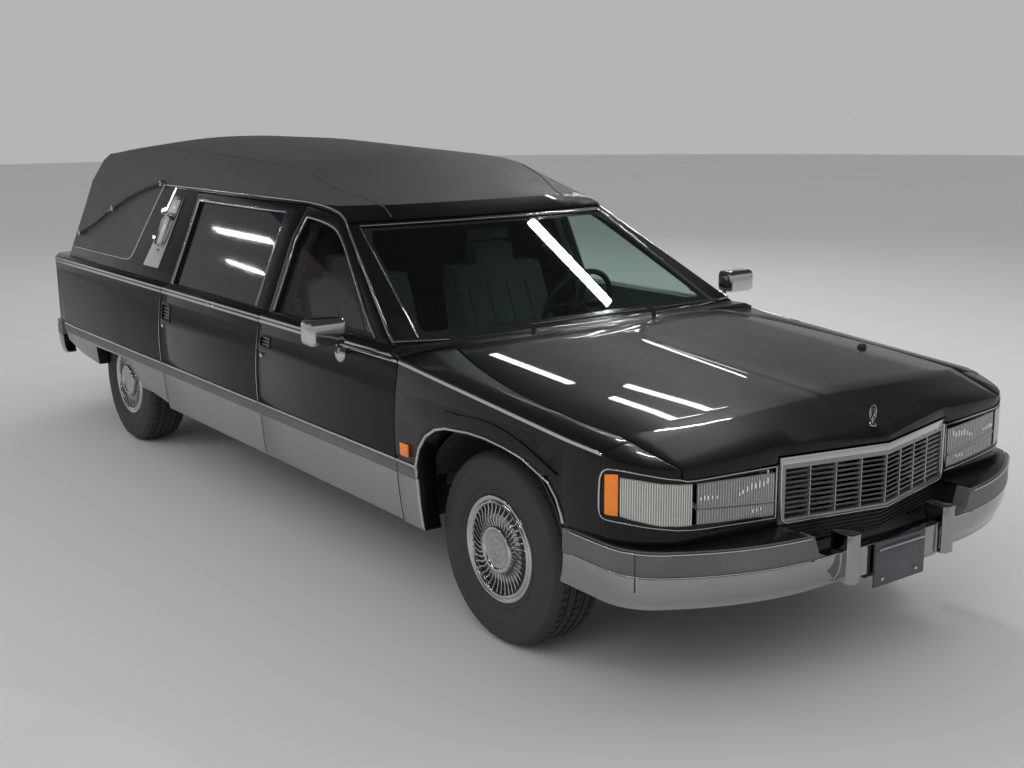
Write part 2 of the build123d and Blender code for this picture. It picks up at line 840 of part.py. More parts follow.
# Tyre sections: radius, and distance out from the middle of the tread
tyre_facets = 56
tyre_half = tyre_width / 2
tread_sections = (
    (272, tyre_half),
    (322, tyre_half - 5),
    (349, tyre_half - 22),
    (tyre_radius, tyre_half - 44),
    (tyre_radius, 44 - tyre_half),
    (349, 22 - tyre_half),
    (322, 5 - tyre_half),
    (272, -tyre_half),
)
sidewall_sections = (
    (rim_radius, rim_half - 8),
    (rim_radius + 26, rim_half + 9),
    (272, tyre_half),
)


def wheel_plane(x, out):
    """Plane across an axle at a distance from the middle of the tread."""
    return Plane(origin=(x, out - tread_half, wheel_z), x_dir=(1, 0, 0), z_dir=(0, 1, 0))


def tyre(x):
    """Tyre in even facets, with bevelled shoulders and dished sidewalls, seated on its rim."""
    with BuildPart() as ring:
        for radius, out in tread_sections:
            with BuildSketch(wheel_plane(x, out)):
                RegularPolygon(radius, tyre_facets)
        loft(ruled=True)
        with BuildSketch(wheel_plane(x, 0)):
            RegularPolygon(rim_radius, tyre_facets, major_radius=False)
        extrude(amount=tyre_width, both=True, mode=Mode.SUBTRACT)
        for side in (1, -1):
            for radius, out in sidewall_sections:
                with BuildSketch(wheel_plane(x, side * out)):
                    RegularPolygon(radius, tyre_facets)
            loft(ruled=True, mode=Mode.SUBTRACT)
    return ring.part


for axle_name, axle_x in (("front", front_axle_x), ("rear", rear_axle_x)):
    both_sides(wheel_disc(axle_x), f"wheel_{axle_name}")
    both_sides(tyre(axle_x), f"tyre_{axle_name}")

# Knuckles, each with a kingpin, a spindle and a splash plate
arm_low_z = 243
arm_high_z = 489
arm_half = 13
kingpin_radius = 15
knuckle = rod(
    (front_axle_x, -kingpin_half, arm_low_z - 26),
    (front_axle_x, -kingpin_half, arm_high_z + 26),
    kingpin_radius,
)
knuckle += block(
    front_axle_x - 34, front_axle_x + 34, -kingpin_half - 26, -kingpin_half + 26, arm_low_z + 30, arm_high_z - 30
)
knuckle += rod(
    (front_axle_x, -kingpin_half, wheel_z), (front_axle_x, -tread_half - 4, wheel_z), spindle_radius
)
knuckle += rod((front_axle_x, -kingpin_half - 38, wheel_z), (front_axle_x, -kingpin_half - 46, wheel_z), 140)
knuckle += block(
    front_axle_x - 190, front_axle_x - 20, -kingpin_half, -kingpin_half + 24, wheel_z - 60, wheel_z - 36
)
both_sides(knuckle, "knuckle")

# Front arms from the frame to the kingpins
arm_pivot_half = 470
rail_front_half = 440
arms = None
for arm_z, spread in ((arm_low_z, 150), (arm_high_z, 90)):
    with BuildPart() as arm:
        with BuildSketch(Plane.XY.offset(arm_z - arm_half)):
            with BuildLine():
                Polyline(
                    (front_axle_x - 34, -kingpin_half),
                    (front_axle_x - spread - 24, -arm_pivot_half + 12),
                    (front_axle_x - spread + 24, -arm_pivot_half + 12),
                    (front_axle_x, -kingpin_half + 62),
                    (front_axle_x + spread - 24, -arm_pivot_half + 12),
                    (front_axle_x + spread + 24, -arm_pivot_half + 12),
                    (front_axle_x + 34, -kingpin_half),
                    close=True,
                )
            make_face()
            with Locations((front_axle_x, -kingpin_half)):
                Circle(34)
                Circle(kingpin_radius + pin_gap, mode=Mode.SUBTRACT)
        extrude(amount=2 * arm_half)
    pivot = rod(
        (front_axle_x - spread - 40, -arm_pivot_half + 8, arm_z),
        (front_axle_x + spread + 40, -arm_pivot_half + 8, arm_z),
        18,
    )
    one = arm.part + pivot
    arms = one if arms is None else arms + one
keep(arms + arms.mirror(Plane.XZ), "front_arms")

# Frame: two rails that kick out under the cabin and up over the axles, with cross members
rail_width = 74
rail_plan_points = (
    (2820, 400),
    (1450, 400),
    (1200, 640),
    (-900, 640),
    (-1250, 500),
    (-2880, 500),
)
rail_level_points = (
    (2820, 440),
    (2560, 440),
    (2350, 470),
    (1560, 470),
    (1300, 330),
    (-1000, 330),
    (-1330, 500),
    (-2150, 500),
    (-2400, 440),
    (-2880, 440),
)
rail_height = 96
with BuildPart() as rail_plan:
    with BuildSketch(Plane.XY):
        with BuildLine():
            Polyline(
                *[(x, -y - rail_width / 2) for x, y in rail_plan_points],
                *[(x, -y + rail_width / 2) for x, y in reversed(rail_plan_points)],
                close=True,
            )
        make_face()
    extrude(amount=far)
rail_level = side_region(
    *[(x, z - rail_height / 2) for x, z in rail_level_points],
    *[(x, z + rail_height / 2) for x, z in reversed(rail_level_points)],
)
rail = rail_plan.part & rail_level
frame = rail + rail.mirror(Plane.XZ)
cross_table = (
    (2780, 410, 440),
    (1975, 410, 452),
    (1180, 640, 315),
    (100, 640, 315),
    (-880, 640, 315),
    (-1300, 470, 470),
    (-2300, 480, 470),
    (-2840, 480, 440),
)
for cross_x, cross_half, cross_z in cross_table:
    frame += block(cross_x - 40, cross_x + 40, -cross_half, cross_half, cross_z - 34, cross_z + 30)
for side in (1, -1):
    frame += block(front_axle_x - 210, front_axle_x + 210, side * 400, side * 443.7, 225, 512)
    frame += block(front_axle_x - 60, front_axle_x + 60, side * 380, side * 443.7, 225, 512)
for tip in (1, -1):
    for side in (1, -1):
        horn = block(2780, far, side * 380, side * 450, 412, 470) & bumper_plan(
            bumper_tip_x, 170, 2400, -bumper_thick - seat_gap
        )
        frame += horn if tip > 0 else horn.mirror(Plane.YZ)
keep(frame, "frame")


# Cowl with the hood's rest pads, carrying the pillars' feet and closing the gap below the windscreen
cowl = front_skin & block(line_a, cowl_x - panel_gap, -hood_rear_half - 4, hood_rear_half + 4, 900, far)
cowl -= inner_front & block(line_a - 50, cowl_x - 25, -far, far, 0, far)
shelf = lower_skin & block(1290, line_a + 6, -far, far, 988, shoulder_z)
door_side = side_region(*door_outline(panel_gap))
shelf -= door_side & block(-far, far, -far, -700, 0, far)
shelf -= door_side & block(-far, far, 700, far, 0, far)
shelf -= block(line_a, far, hood_rear_half + 4, far, 0, far)
shelf -= block(line_a, far, -far, -hood_rear_half - 4, 0, far)
cowl = cowl + shelf
for pad_y in (-360, 300):
    cowl += block(cowl_x - 26, cowl_x + 40, pad_y, pad_y + 60, 980, far) & clip_top(hood_skin + seat_gap)
keep(cowl, "cowl")

# Sill, hinge post and door post on each side
post_half = door_in_half - 10
floor_half = 780
post = block(-1310, cowl_x, -post_half, -floor_half, 360, 470)
post += block(150, 290, -post_half, -floor_half, 460, 1075)
post = post & lower_envelope(inset_side=door_depth + 10, top_z=shoulder_z + 60)
post += block(1452, cowl_x, -post_half - 30, -floor_half - 10, 360, 930)
post_shell = (upper_envelope(50) - upper_envelope(86)) & right_half
post_upper = post_shell & block(150, 290, -far, 0, shoulder_z + 8, 1540)
post_upper += (upper_envelope(50) & right_half) & block(150, 290, -850, -floor_half, shoulder_z + 8, 1075)
post_upper += (((upper_room - upper_envelope(86)) & right_half) & block(150, 290, -far, 0, 1500, 1540))
post = post + post_upper - fender
keep(post + post.mirror(Plane.XZ), "door_posts")

# Floor, stepped over the rear axle, with tunnel, firewall and seat box
floor_sheet = 8
floor_z = 400
tail_floor_z = 586
floor_line = ((1480, 540), (1290, floor_z), (-1000, floor_z), (-1250, tail_floor_z), (-2560, tail_floor_z))
floor = side_region(*floor_line, *[(x, z + floor_sheet) for x, z in reversed(floor_line)]) & block(
    -far, far, -floor_half + seat_gap, floor_half - seat_gap, 0, far
)
floor -= block(-1045, 1490, -118, 118, 0, 600)
floor += block(-1090, 1480, -118, 118, floor_z, 560) - block(-1200, 1490, -110, 110, 0, 552)
floor -= side_region((1490, 548), (1200, 330), (1500, 330))
floor += block(1476, 1486, -floor_half - 8, floor_half + 8, 540, 899)
floor -= block(1400, 1500, -110, 110, 0, 552)
floor = floor - block(rear_axle_x - 400, rear_axle_x + 400, -far, -648, 0, far)
floor = floor - block(rear_axle_x - 400, rear_axle_x + 400, 648, far, 0, far)
seat_box = block(360, 860, 130, 700, floor_z + 2, 558) - block(380, 840, 150, 680, 0, 546)
floor += seat_box + seat_box.mirror(Plane.XZ)
floor = floor - post - post.mirror(Plane.XZ)
keep(floor, "floor_pan")

# Wheel liners round the tyres
front_liner_radius = 455
rear_liner_radius = 388
liner_sheet = 5


def liner(x, radius, inner_half, low_z):
    """Half-round shell over a tyre with its inner wall."""
    drum = rod((x, -wall_in_half + seat_gap, wheel_z), (x, -inner_half, wheel_z), radius)
    core = rod((x, -far, wheel_z), (x, -inner_half - liner_sheet, wheel_z), radius - liner_sheet)
    return (drum - core) & block(-far, far, -far, 0, low_z, far)


front_liner = liner(front_axle_x, front_liner_radius, 452, 545)
front_liner = front_liner & block(-far, far, -far, 0, 0, 960) - fender
rear_liner = liner(rear_axle_x, rear_liner_radius, 650, 420) - quarter
liner_solids = [*front_liner.solids(), *rear_liner.solids()]
liner_solids += [solid.mirror(Plane.XZ) for solid in liner_solids]
keep(Compound(children=liner_solids), "wheel_liners")

# Load deck with side shelves, end board and rollers
deck_z = 636
deck_sheet = 14
shelf_z = 790
deck = block(-2555, -40, -632, 632, deck_z, deck_z + deck_sheet)
deck += block(-54, -40, -floor_half, floor_half, floor_z + floor_sheet + 0.2, 960)
deck -= block(-60, -30, -119, 119, 0, 561)
for side in (1, -1):
    deck += block(-2555, -40, side * 618, side * 632, deck_z, shelf_z)
    deck += block(-2555, -1050, side * 618, side * 866, shelf_z - deck_sheet, shelf_z)
    deck += block(-2555, -40, side * 618, side * 632, tail_floor_z + floor_sheet + 0.2, deck_z)
for roller_x in (-350, -900, -1450, -2000, -2500):
    deck += rod((roller_x, -260, deck_z + 20), (roller_x, 260, deck_z + 20), 12)
for rail_y in (-300, 300):
    deck += block(-2555, -54, rail_y - 12, rail_y + 12, deck_z + deck_sheet - 1, deck_z + deck_sheet + 9)
keep(deck - floor, "load_deck")

# Dashboard and steering column
wheel_tilt = radians(25)
column_top = Vector(868, 385, 992)
column_dir = Vector(cos(wheel_tilt), 0, -sin(wheel_tilt))
dash = side_region((1438, 700), (1438, 984), (1330, 1010), (1200, 980), (1150, 900), (1190, 720)) & block(
    0, far, -floor_half + 4, floor_half - 4, 0, far
)
dash -= side_region((1500, 690), (1500, 930), (1290, 930), (1260, 740), (1300, 690))
dash += rod(column_top + column_dir * 42, column_top + column_dir * 420, 30)
dash += rod(column_top + column_dir * 14, column_top + column_dir * 60, 11)
keep(dash - cowl, "dashboard")

# Steering wheel
steering_ring = 188
with BuildPart() as steering:
    turned = Plane(origin=column_top, x_dir=(0, 1, 0), z_dir=column_dir * -1)
    with BuildSketch(turned):
        Circle(46)
    extrude(amount=30)
    with BuildSketch(turned):
        with Locations((0, 0)):
            Rectangle(2 * steering_ring - 6, 34)
        with Locations((0, -steering_ring / 2)):
            Rectangle(34, steering_ring - 6)
    extrude(amount=12)
rim_plane = Plane(
    origin=column_top + column_dir * -8, x_dir=(0, 1, 0), z_dir=column_dir.cross(Vector(0, 1, 0))
)
with BuildPart() as rim_ring:
    with BuildSketch(rim_plane):
        with Locations((steering_ring, 0)):
            RegularPolygon(14, 6)
    revolve(axis=Axis(column_top, column_dir))
steering_wheel = steering.part + rim_ring.part
steering_wheel += rod(column_top + column_dir * 36, column_top, 34)
steering_wheel -= rod(column_top + column_dir * 60, column_top + column_dir * 8, 11 + pin_gap)
keep(steering_wheel, "steering_wheel")

# Front seats
seat_z = 558 + seat_gap


def seat_cushion():
    """One cushion of the split bench."""
    with BuildPart() as pad:
        with BuildSketch(Plane.XZ.offset(-126)):
            with BuildLine():
                Polyline(
                    (345, seat_z), (860, seat_z), (890, 650), (870, 735), (560, 715), (345, 700), close=True
                )
            make_face()
        extrude(amount=-580)
        fillet(pad.edges().filter_by(Axis.Y), 18)
    return pad.part


def seat_back():
    """One back of the split bench with its head restraint."""
    with BuildPart() as pad:
        with BuildSketch(Plane.XZ.offset(-130)):
            with BuildLine():
                Polyline((210, 600), (345, 600), (345, 720), (170, 1130), (60, 1130), (120, 800), close=True)
            make_face()
        extrude(amount=-560)
        with BuildSketch(Plane.XZ.offset(-290)):
            with BuildLine():
                Polyline((165, 1120), (140, 1225), (60, 1240), (45, 1120), close=True)
            make_face()
        extrude(amount=-240)
    return pad.part


cushion = seat_cushion()
back = seat_back() - block(-far, far, -far, far, 0, seat_z + 40)
back -= block(345 - seat_gap, far, -far, far, 0, far)
keep(cushion + cushion.mirror(Plane.XZ), "seat_cushions")
keep(back + back.mirror(Plane.XZ), "seat_backs")


# Landau bars on the rear quarters
bar_radius = 9
landau_points = (
    (-1441, 1517),
    (-1637, 1483),
    (-1826, 1429),
    (-1960, 1382),
    (-2055, 1345),
    (-2120, 1318),
    (-2254, 1250),
    (-2482, 1174),
)


def on_side(x, z, proud):
    """Point beside the right face of the greenhouse, standing proud of it."""
    return (x, -side_half(z) - proud, z)


landau = None
for (x0, z0), (x1, z1) in zip(landau_points, landau_points[1:]):
    stretch = rod(on_side(x0, z0, 18), on_side(x1, z1, 18), bar_radius)
    landau = stretch if landau is None else landau + stretch
for knot in (0, 4, 7):
    x, z = landau_points[knot]
    landau += rod(on_side(x, z, -4), on_side(x, z, 26), 17)
for x, z in landau_points[1:-1]:
    with BuildPart() as knob:
        with Locations(on_side(x, z, 18)):
            Sphere(bar_radius)
    landau += knob.part
landau = landau - roof
keep(landau + landau.mirror(Plane.XZ), "landau_bars")

# Carriage lamps on the pillars behind the rear doors
lamp_plate = ((upper_envelope(-6) - upper_skin) & right_half) & side_region(
    (-1246, 1441), (-1112, 1448), (-1097, 1297), (-1068, 1080), (-1272, 1082), (-1271, 1285)
)
lantern = (upper_envelope(-38) & right_half) & side_region(
    (-1225, 1370), (-1140, 1374), (-1128, 1190), (-1225, 1188)
)
carriage_lamp = lamp_plate + (lantern - upper_skin)
keep(carriage_lamp + carriage_lamp.mirror(Plane.XZ), "carriage_lamps")

# Door mirrors on the front doors
mirror_foot_x = 1215
with BuildPart() as mirror_head:
    with Locations((1130, -1122, 1080)):
        Box(84, 194, 118)
    chamfer(mirror_head.edges().filter_by(Axis.X), 16)
    chamfer(mirror_head.faces().sort_by(Axis.X)[-1].edges(), 22)
door_mirror = mirror_head.part
door_mirror += rod((1150, -1040, 1040), (1206, -960, 1000), 17)
door_mirror += rod((1206, -960, 1000), (1206, -930, 992), 26)
door_mirror = door_mirror - front_door - (upper_envelope(0) & right_half)
both_sides(door_mirror.solids().sort_by(SortBy.VOLUME)[-1], "mirror")

# Wipers, parked along the foot of the windscreen
wiper_parts = []
for pivot_y, tip_y in ((-330, 300), (330, 730)):
    pivot_top = clip_edge_z(line_a) + clip_crown + 12
    wiper = rod((1462, pivot_y, pivot_top - 60), (1462, pivot_y, pivot_top + 12), 9)
    wiper += rod((1462, pivot_y, pivot_top + 6), (1462 - 10, tip_y, pivot_top + 6), 5)
    wiper_parts.append(wiper - cowl)
keep(Compound(children=[w.solids().sort_by(Axis.Z)[-1] for w in wiper_parts]), "wipers")

# Engine with gearbox as one plain block, carried on the cross member
engine = block(1500, 2380, -270, 270, 482.3, 800) + block(1560, 2280, -210, 210, 330, 482.3)
engine -= frame
engine += block(640, 1500, -104, 104, 380, 545)
engine = engine - floor - block(1900, 2050, -500, 500, 0, 482.3)
engine = engine.solids().sort_by(SortBy.VOLUME)[-1]
keep(engine, "engine_block")
radiator = block(2745, 2800, -355, 355, 470, 780)
keep(radiator, "radiator")

# Rear axle with differential, drums and springs
rear_spindle_in = 700
axle = rod((rear_axle_x, -rear_spindle_in, wheel_z), (rear_axle_x, rear_spindle_in, wheel_z), 40)
axle += rod((rear_axle_x, -tread_half - 4, wheel_z), (rear_axle_x, tread_half + 4, wheel_z), spindle_radius)
with BuildPart() as pumpkin:
    with BuildSketch(Plane.XY.offset(wheel_z)):
        Polygon(
            (rear_axle_x - 125, -45),
            (rear_axle_x - 90, -95),
            (rear_axle_x, -125),
            (rear_axle_x, 125),
            (rear_axle_x - 90, 95),
            (rear_axle_x - 125, 45),
            align=None,
        )
    revolve(axis=Axis((rear_axle_x, 0, wheel_z), (0, 1, 0)))
axle += pumpkin.part
for side in (1, -1):
    axle += rod((rear_axle_x, side * 688, wheel_z), (rear_axle_x, side * 706, wheel_z), 130)
    axle += rod((rear_axle_x, side * 500, wheel_z), (rear_axle_x, side * 500, 460), 46)
    axle += rod((rear_axle_x, side * 560, wheel_z - 30), (-1010, side * 600, 330), 17)
axle += rod((rear_axle_x, 0, wheel_z), (rear_axle_x + 190, 0, wheel_z), 48)
axle = axle - frame
axle = axle.solids().sort_by(SortBy.VOLUME)[-1]
keep(axle, "rear_axle")
shaft = rod((rear_axle_x + 190, 0, wheel_z), (640, 0, 420), 36) - axle - engine - frame
keep(shaft.solids().sort_by(SortBy.VOLUME)[-1], "propeller_shaft")

# Exhaust and fuel tank
pipe_z = 252
pipe_points = (
    (1540, -180, 330),
    (1300, -300, pipe_z),
    (-1080, -300, pipe_z),
    (-1450, -330, 225),
    (-2100, -330, 225),
    (-2860, -330, 330),
)
exhaust = None
for start, end in zip(pipe_points, pipe_points[1:]):
    run = rod(start, end, 27)
    exhaust = run if exhaust is None else exhaust + run
for point in pipe_points[1:-1]:
    with BuildPart() as bend:
        with Locations(point):
            Sphere(27)
    exhaust += bend.part
exhaust += block(-860, -260, -390, -210, pipe_z - 60, pipe_z + 62 - 34)
for hang_x in (1180, 100, -880):
    exhaust += block(hang_x - 8, hang_x + 8, -312, -288, pipe_z, 281)
exhaust = exhaust - frame - engine
keep(exhaust.solids().sort_by(SortBy.VOLUME)[-1], "exhaust")
tank = block(-2799.7, -2340.3, -230, 455, 300, 452)
tank = tank.fillet(24, tank.edges().filter_by(Axis.Y)) - frame
keep(tank, "fuel_tank")

os.makedirs("parts", exist_ok=True)
for piece in pieces:
    export_step(piece, f"parts/{piece.label}.step")
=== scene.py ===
"""A hearse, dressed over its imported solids."""

import json
import math

import bpy
from mathutils import Matrix, Vector
from mathutils.bvhtree import BVHTree


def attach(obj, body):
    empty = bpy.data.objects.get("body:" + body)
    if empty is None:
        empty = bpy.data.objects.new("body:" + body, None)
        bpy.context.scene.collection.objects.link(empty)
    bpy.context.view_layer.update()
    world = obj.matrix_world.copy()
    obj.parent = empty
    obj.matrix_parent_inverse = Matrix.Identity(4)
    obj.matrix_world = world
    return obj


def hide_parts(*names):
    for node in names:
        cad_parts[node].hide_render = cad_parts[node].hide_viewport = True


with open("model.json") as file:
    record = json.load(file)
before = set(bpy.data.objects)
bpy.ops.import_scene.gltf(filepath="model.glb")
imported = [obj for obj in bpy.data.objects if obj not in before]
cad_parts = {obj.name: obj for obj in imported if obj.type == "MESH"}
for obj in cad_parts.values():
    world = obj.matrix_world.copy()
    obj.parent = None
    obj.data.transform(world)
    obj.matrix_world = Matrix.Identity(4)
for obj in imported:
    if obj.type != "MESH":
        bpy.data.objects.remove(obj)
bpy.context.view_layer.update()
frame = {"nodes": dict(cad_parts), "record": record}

bl_info = {
    "name": "Hearse",
    "version": (1, 0, 0),
    "blender": (4, 5, 0),
    "location": "View3D > Sidebar > Hearse",
    "description": "Paint, trim, glass, wheels and cabin of a hearse",
    "category": "Object",
}

RIGHT, LEFT = -1, 1
SIDES = (("right", RIGHT), ("left", LEFT))
SIDE_NAMES = {side: name for name, side in SIDES}

# Places well clear of the hearse, from which its skin is probed
BESIDE = 3.0
BEYOND = 4.0

# Places of the body's own lines, in metres. Lines A, B and C are the doors' upright edges from the front;
# the clip is the front end, whose shoulder falls by the slope.
FRONT_AXLE_X = 1.975
REAR_AXLE_X = -1.765
WHEEL_Z = 0.363
WHEEL_HALF = 0.783
TYRE_RADIUS = 0.363
RIM_RADIUS = 0.19
TRIM_Z = 0.548
BAND_Z = 0.6
BELT_Z = 1.008
SHOULDER_Z = 1.024
SHOULDER_HALF = 0.918
SIDE_LEAN = 0.406
DRIP_Z = 1.503
LINE_A = 1.443
LINE_B = 0.22
LINE_C = -0.962
CLIP_SLOPE = 0.083
TRIM_END_X = 1.66
QUARTER_Z = 1.088
HEADER_Z = 1.4255
LANE = 0.1


class HearseSizes(bpy.types.PropertyGroup):
    """Sizes of the trim that a user may change."""

    rib_count: bpy.props.IntProperty(
        name="Band ribs", description="Ribs along the grey side band", default=5, min=2, max=8
    )
    wire_count: bpy.props.IntProperty(
        name="Cover wires", description="Wires in each wheel cover", default=40, min=16, max=72
    )
    wire_radius: bpy.props.FloatProperty(
        name="Wire radius", description="Radius of a wheel cover's wires", default=0.0024, unit="LENGTH"
    )
    bead_radius: bpy.props.FloatProperty(
        name="Moulding radius", description="Radius of the bright mouldings", default=0.007, unit="LENGTH"
    )
    lamp_flutes: bpy.props.IntProperty(
        name="Lamp flutes", description="Upright flutes across a lamp", default=60, min=10, max=90
    )
    tread_steps: bpy.props.IntProperty(
        name="Tread pitch", description="Steps of the tread round a tyre", default=132, min=48, max=180
    )


class HearseColors(bpy.types.PropertyGroup):
    """Colours that a user may change."""

    paint: bpy.props.FloatVectorProperty(
        name="Paint", description="Gloss black of the body", subtype="COLOR", size=4,
        default=(0.003, 0.003, 0.0042, 1.0), min=0.0, max=1.0,
    )
    vinyl: bpy.props.FloatVectorProperty(
        name="Vinyl", description="Grained cover of roof and quarters", subtype="COLOR", size=4,
        default=(0.042, 0.04, 0.043, 1.0), min=0.0, max=1.0,
    )
    cladding: bpy.props.FloatVectorProperty(
        name="Cladding", description="Satin metal along the sills", subtype="COLOR", size=4,
        default=(0.4, 0.39, 0.375, 1.0), min=0.0, max=1.0,
    )
    band: bpy.props.FloatVectorProperty(
        name="Band", description="Grey ribbed band", subtype="COLOR", size=4,
        default=(0.085, 0.085, 0.092, 1.0), min=0.0, max=1.0,
    )
    cloth: bpy.props.FloatVectorProperty(
        name="Cloth", description="Seats and door cards", subtype="COLOR", size=4,
        default=(0.13, 0.13, 0.14, 1.0), min=0.0, max=1.0,
    )
    floor: bpy.props.FloatVectorProperty(
        name="Floor", description="Studio floor", subtype="COLOR", size=4,
        default=(0.5, 0.49, 0.475, 1.0), min=0.0, max=1.0,
    )


# Materials

finishes = {}
FLOAT, COLOR = "NodeSocketFloat", "NodeSocketColor"

# Effects that several finishes share: inputs with their defaults, outputs, nodes with what is set on each,
# and links. Every one starts from Object coordinates; "in" and "out" are the group's own sockets.
EFFECTS = {
    "Fine grain": (
        (("Scale", FLOAT, 600.0), ("Depth", FLOAT, 0.5)),
        (("Height", FLOAT),),
        (
            ("cells", "TexVoronoi", {"feature": "SMOOTH_F1"}, {"Smoothness": 0.6}),
            ("speck", "TexNoise", {}, {"Detail": 4}),
            ("blend", "Math", {"operation": "MULTIPLY_ADD"}, {1: 0.7}),
            ("deepen", "Math", {"operation": "MULTIPLY"}, {}),
        ),
        (
            ("place", "Object", "cells", "Vector"), ("place", "Object", "speck", "Vector"),
            ("in", "Scale", "cells", "Scale"), ("in", "Scale", "speck", "Scale"),
            ("cells", "Distance", "blend", 0), ("speck", "Fac", "blend", 2),
            ("blend", 0, "deepen", 0), ("in", "Depth", "deepen", 1), ("deepen", 0, "out", "Height"),
        ),
    ),
    "Cloudy tone": (
        (
            ("Color", COLOR, (0.5, 0.5, 0.5, 1.0)), ("Second", COLOR, (0.4, 0.4, 0.4, 1.0)),
            ("Scale", FLOAT, 3.0), ("Low", FLOAT, 0.2), ("High", FLOAT, 0.4),
        ),
        (("Color", COLOR), ("Value", FLOAT)),
        (
            ("cloud", "TexNoise", {}, {"Detail": 6, "Roughness": 0.62}),
            ("mix", "Mix", {"data_type": "RGBA"}, {}),
            ("span", "MapRange", {}, {"From Min": 0.3, "From Max": 0.7}),
        ),
        (
            ("place", "Object", "cloud", "Vector"), ("in", "Scale", "cloud", "Scale"),
            ("cloud", "Fac", "mix", "Factor"), ("in", "Color", "mix", "A"), ("in", "Second", "mix", "B"),
            ("cloud", "Fac", "span", "Value"), ("in", "Low", "span", "To Min"), ("in", "High", "span", "To Max"),
            ("mix", "Result", "out", "Color"), ("span", "Result", "out", "Value"),
        ),
    ),
    "Water drops": (
        (("Scale", FLOAT, 90.0), ("Share", FLOAT, 0.45)),
        (("Height", FLOAT),),
        (
            ("drops", "TexVoronoi", {}, {}),
            ("patches", "TexNoise", {}, {"Scale": 7}),
            ("bead", "MapRange", {"interpolation_type": "SMOOTHSTEP"}, {"From Min": 0.26, "From Max": 0.1}),
            ("where", "Math", {"operation": "GREATER_THAN"}, {}),
            ("both", "Math", {"operation": "MULTIPLY"}, {}),
        ),
        (
            ("place", "Object", "drops", "Vector"), ("place", "Object", "patches", "Vector"),
            ("in", "Scale", "drops", "Scale"), ("drops", "Distance", "bead", "Value"),
            ("patches", "Fac", "where", 0), ("in", "Share", "where", 1),
            ("bead", "Result", "both", 0), ("where", 0, "both", 1), ("both", 0, "out", "Height"),
        ),
    ),
    "Woven threads": (
        (("Scale", FLOAT, 380.0),),
        (("Height", FLOAT),),
        (
            ("total", "Math", {"operation": "ADD"}, {}),
            ("warp", "TexWave", {"bands_direction": "X"}, {"Distortion": 1.2}),
            ("weft", "TexWave", {"bands_direction": "Z"}, {"Distortion": 1.2}),
        ),
        (
            ("place", "Object", "warp", "Vector"), ("in", "Scale", "warp", "Scale"), ("warp", "Fac", "total", 0),
            ("place", "Object", "weft", "Vector"), ("in", "Scale", "weft", "Scale"), ("weft", "Fac", "total", 1),
            ("total", 0, "out", "Height"),
        ),
    ),
}


def build_effects():
    """Every shared effect as a node group."""
    for name, (inputs, outputs, parts, links) in EFFECTS.items():
        group = bpy.data.node_groups.new(name, "ShaderNodeTree")
        for label, kind, default in inputs:
            group.interface.new_socket(name=label, in_out="INPUT", socket_type=kind).default_value = default
        for label, kind in outputs:
            group.interface.new_socket(name=label, in_out="OUTPUT", socket_type=kind)
        nodes = {
            "in": group.nodes.new("NodeGroupInput"),
            "out": group.nodes.new("NodeGroupOutput"),
            "place": group.nodes.new("ShaderNodeTexCoord"),
        }
        for key, kind, traits, values in parts:
            nodes[key] = group.nodes.new(f"ShaderNode{kind}")
            for trait, value in traits.items():
                setattr(nodes[key], trait, value)
            for socket, value in values.items():
                nodes[key].inputs[socket].default_value = value
        for source, leaving, target, entering in links:
            group.links.new(nodes[source].outputs[leaving], nodes[target].inputs[entering])


def finish(name, color, second, rough, metallic=0.0, cloud=4.0, coat=0.0, coat_rough=0.05, grain=None,
           drops=None, weave=None, glass=0.0, sheen=0.0, ior=1.5, glow=None, shine=0.5):
    """A named material: a tone that clouds from one colour to a second, and from a low to a high roughness.

    grain, drops and weave are each the scale, strength and depth of a bump; glow is a colour and a strength.
    """
    material = bpy.data.materials.new(name)
    material.use_nodes = True
    nodes, link = material.node_tree.nodes, material.node_tree.links.new
    shader = nodes["Principled BSDF"]
    tone = nodes.new("ShaderNodeGroup")
    tone.node_tree = bpy.data.node_groups["Cloudy tone"]
    tone.inputs["Color"].default_value = (*color[:3], 1.0)
    tone.inputs["Second"].default_value = (*second, 1.0)
    tone.inputs["Scale"].default_value = cloud
    tone.inputs["Low"].default_value, tone.inputs["High"].default_value = rough
    link(tone.outputs["Color"], shader.inputs["Base Color"])
    link(tone.outputs["Value"], shader.inputs["Roughness"])
    shader.inputs["Metallic"].default_value = metallic
    shader.inputs["IOR"].default_value = ior
    shader.inputs["Specular IOR Level"].default_value = shine
    shader.inputs["Coat Weight"].default_value = coat
    shader.inputs["Coat Roughness"].default_value = coat_rough
    shader.inputs["Sheen Weight"].default_value = sheen
    shader.inputs["Transmission Weight"].default_value = glass
    if glow:
        shader.inputs["Emission Color"].default_value = (*glow[:3], 1.0)
        shader.inputs["Emission Strength"].default_value = glow[3]
    normal = None
    for kind, setting in (("Fine grain", grain), ("Water drops", drops), ("Woven threads", weave)):
        if setting is None:
            continue
        scale, strength, distance = setting
        effect = nodes.new("ShaderNodeGroup")
        effect.node_tree = bpy.data.node_groups[kind]
        effect.inputs["Scale"].default_value = scale
        bump = nodes.new("ShaderNodeBump")
        bump.inputs["Strength"].default_value = strength
        bump.inputs["Distance"].default_value = distance
        link(effect.outputs["Height"], bump.inputs["Height"])
        if normal:
            link(normal, bump.inputs["Normal"])
        normal = bump.outputs["Normal"]
    if normal:
        link(normal, shader.inputs["Normal"])
    finishes[name] = material
    return material


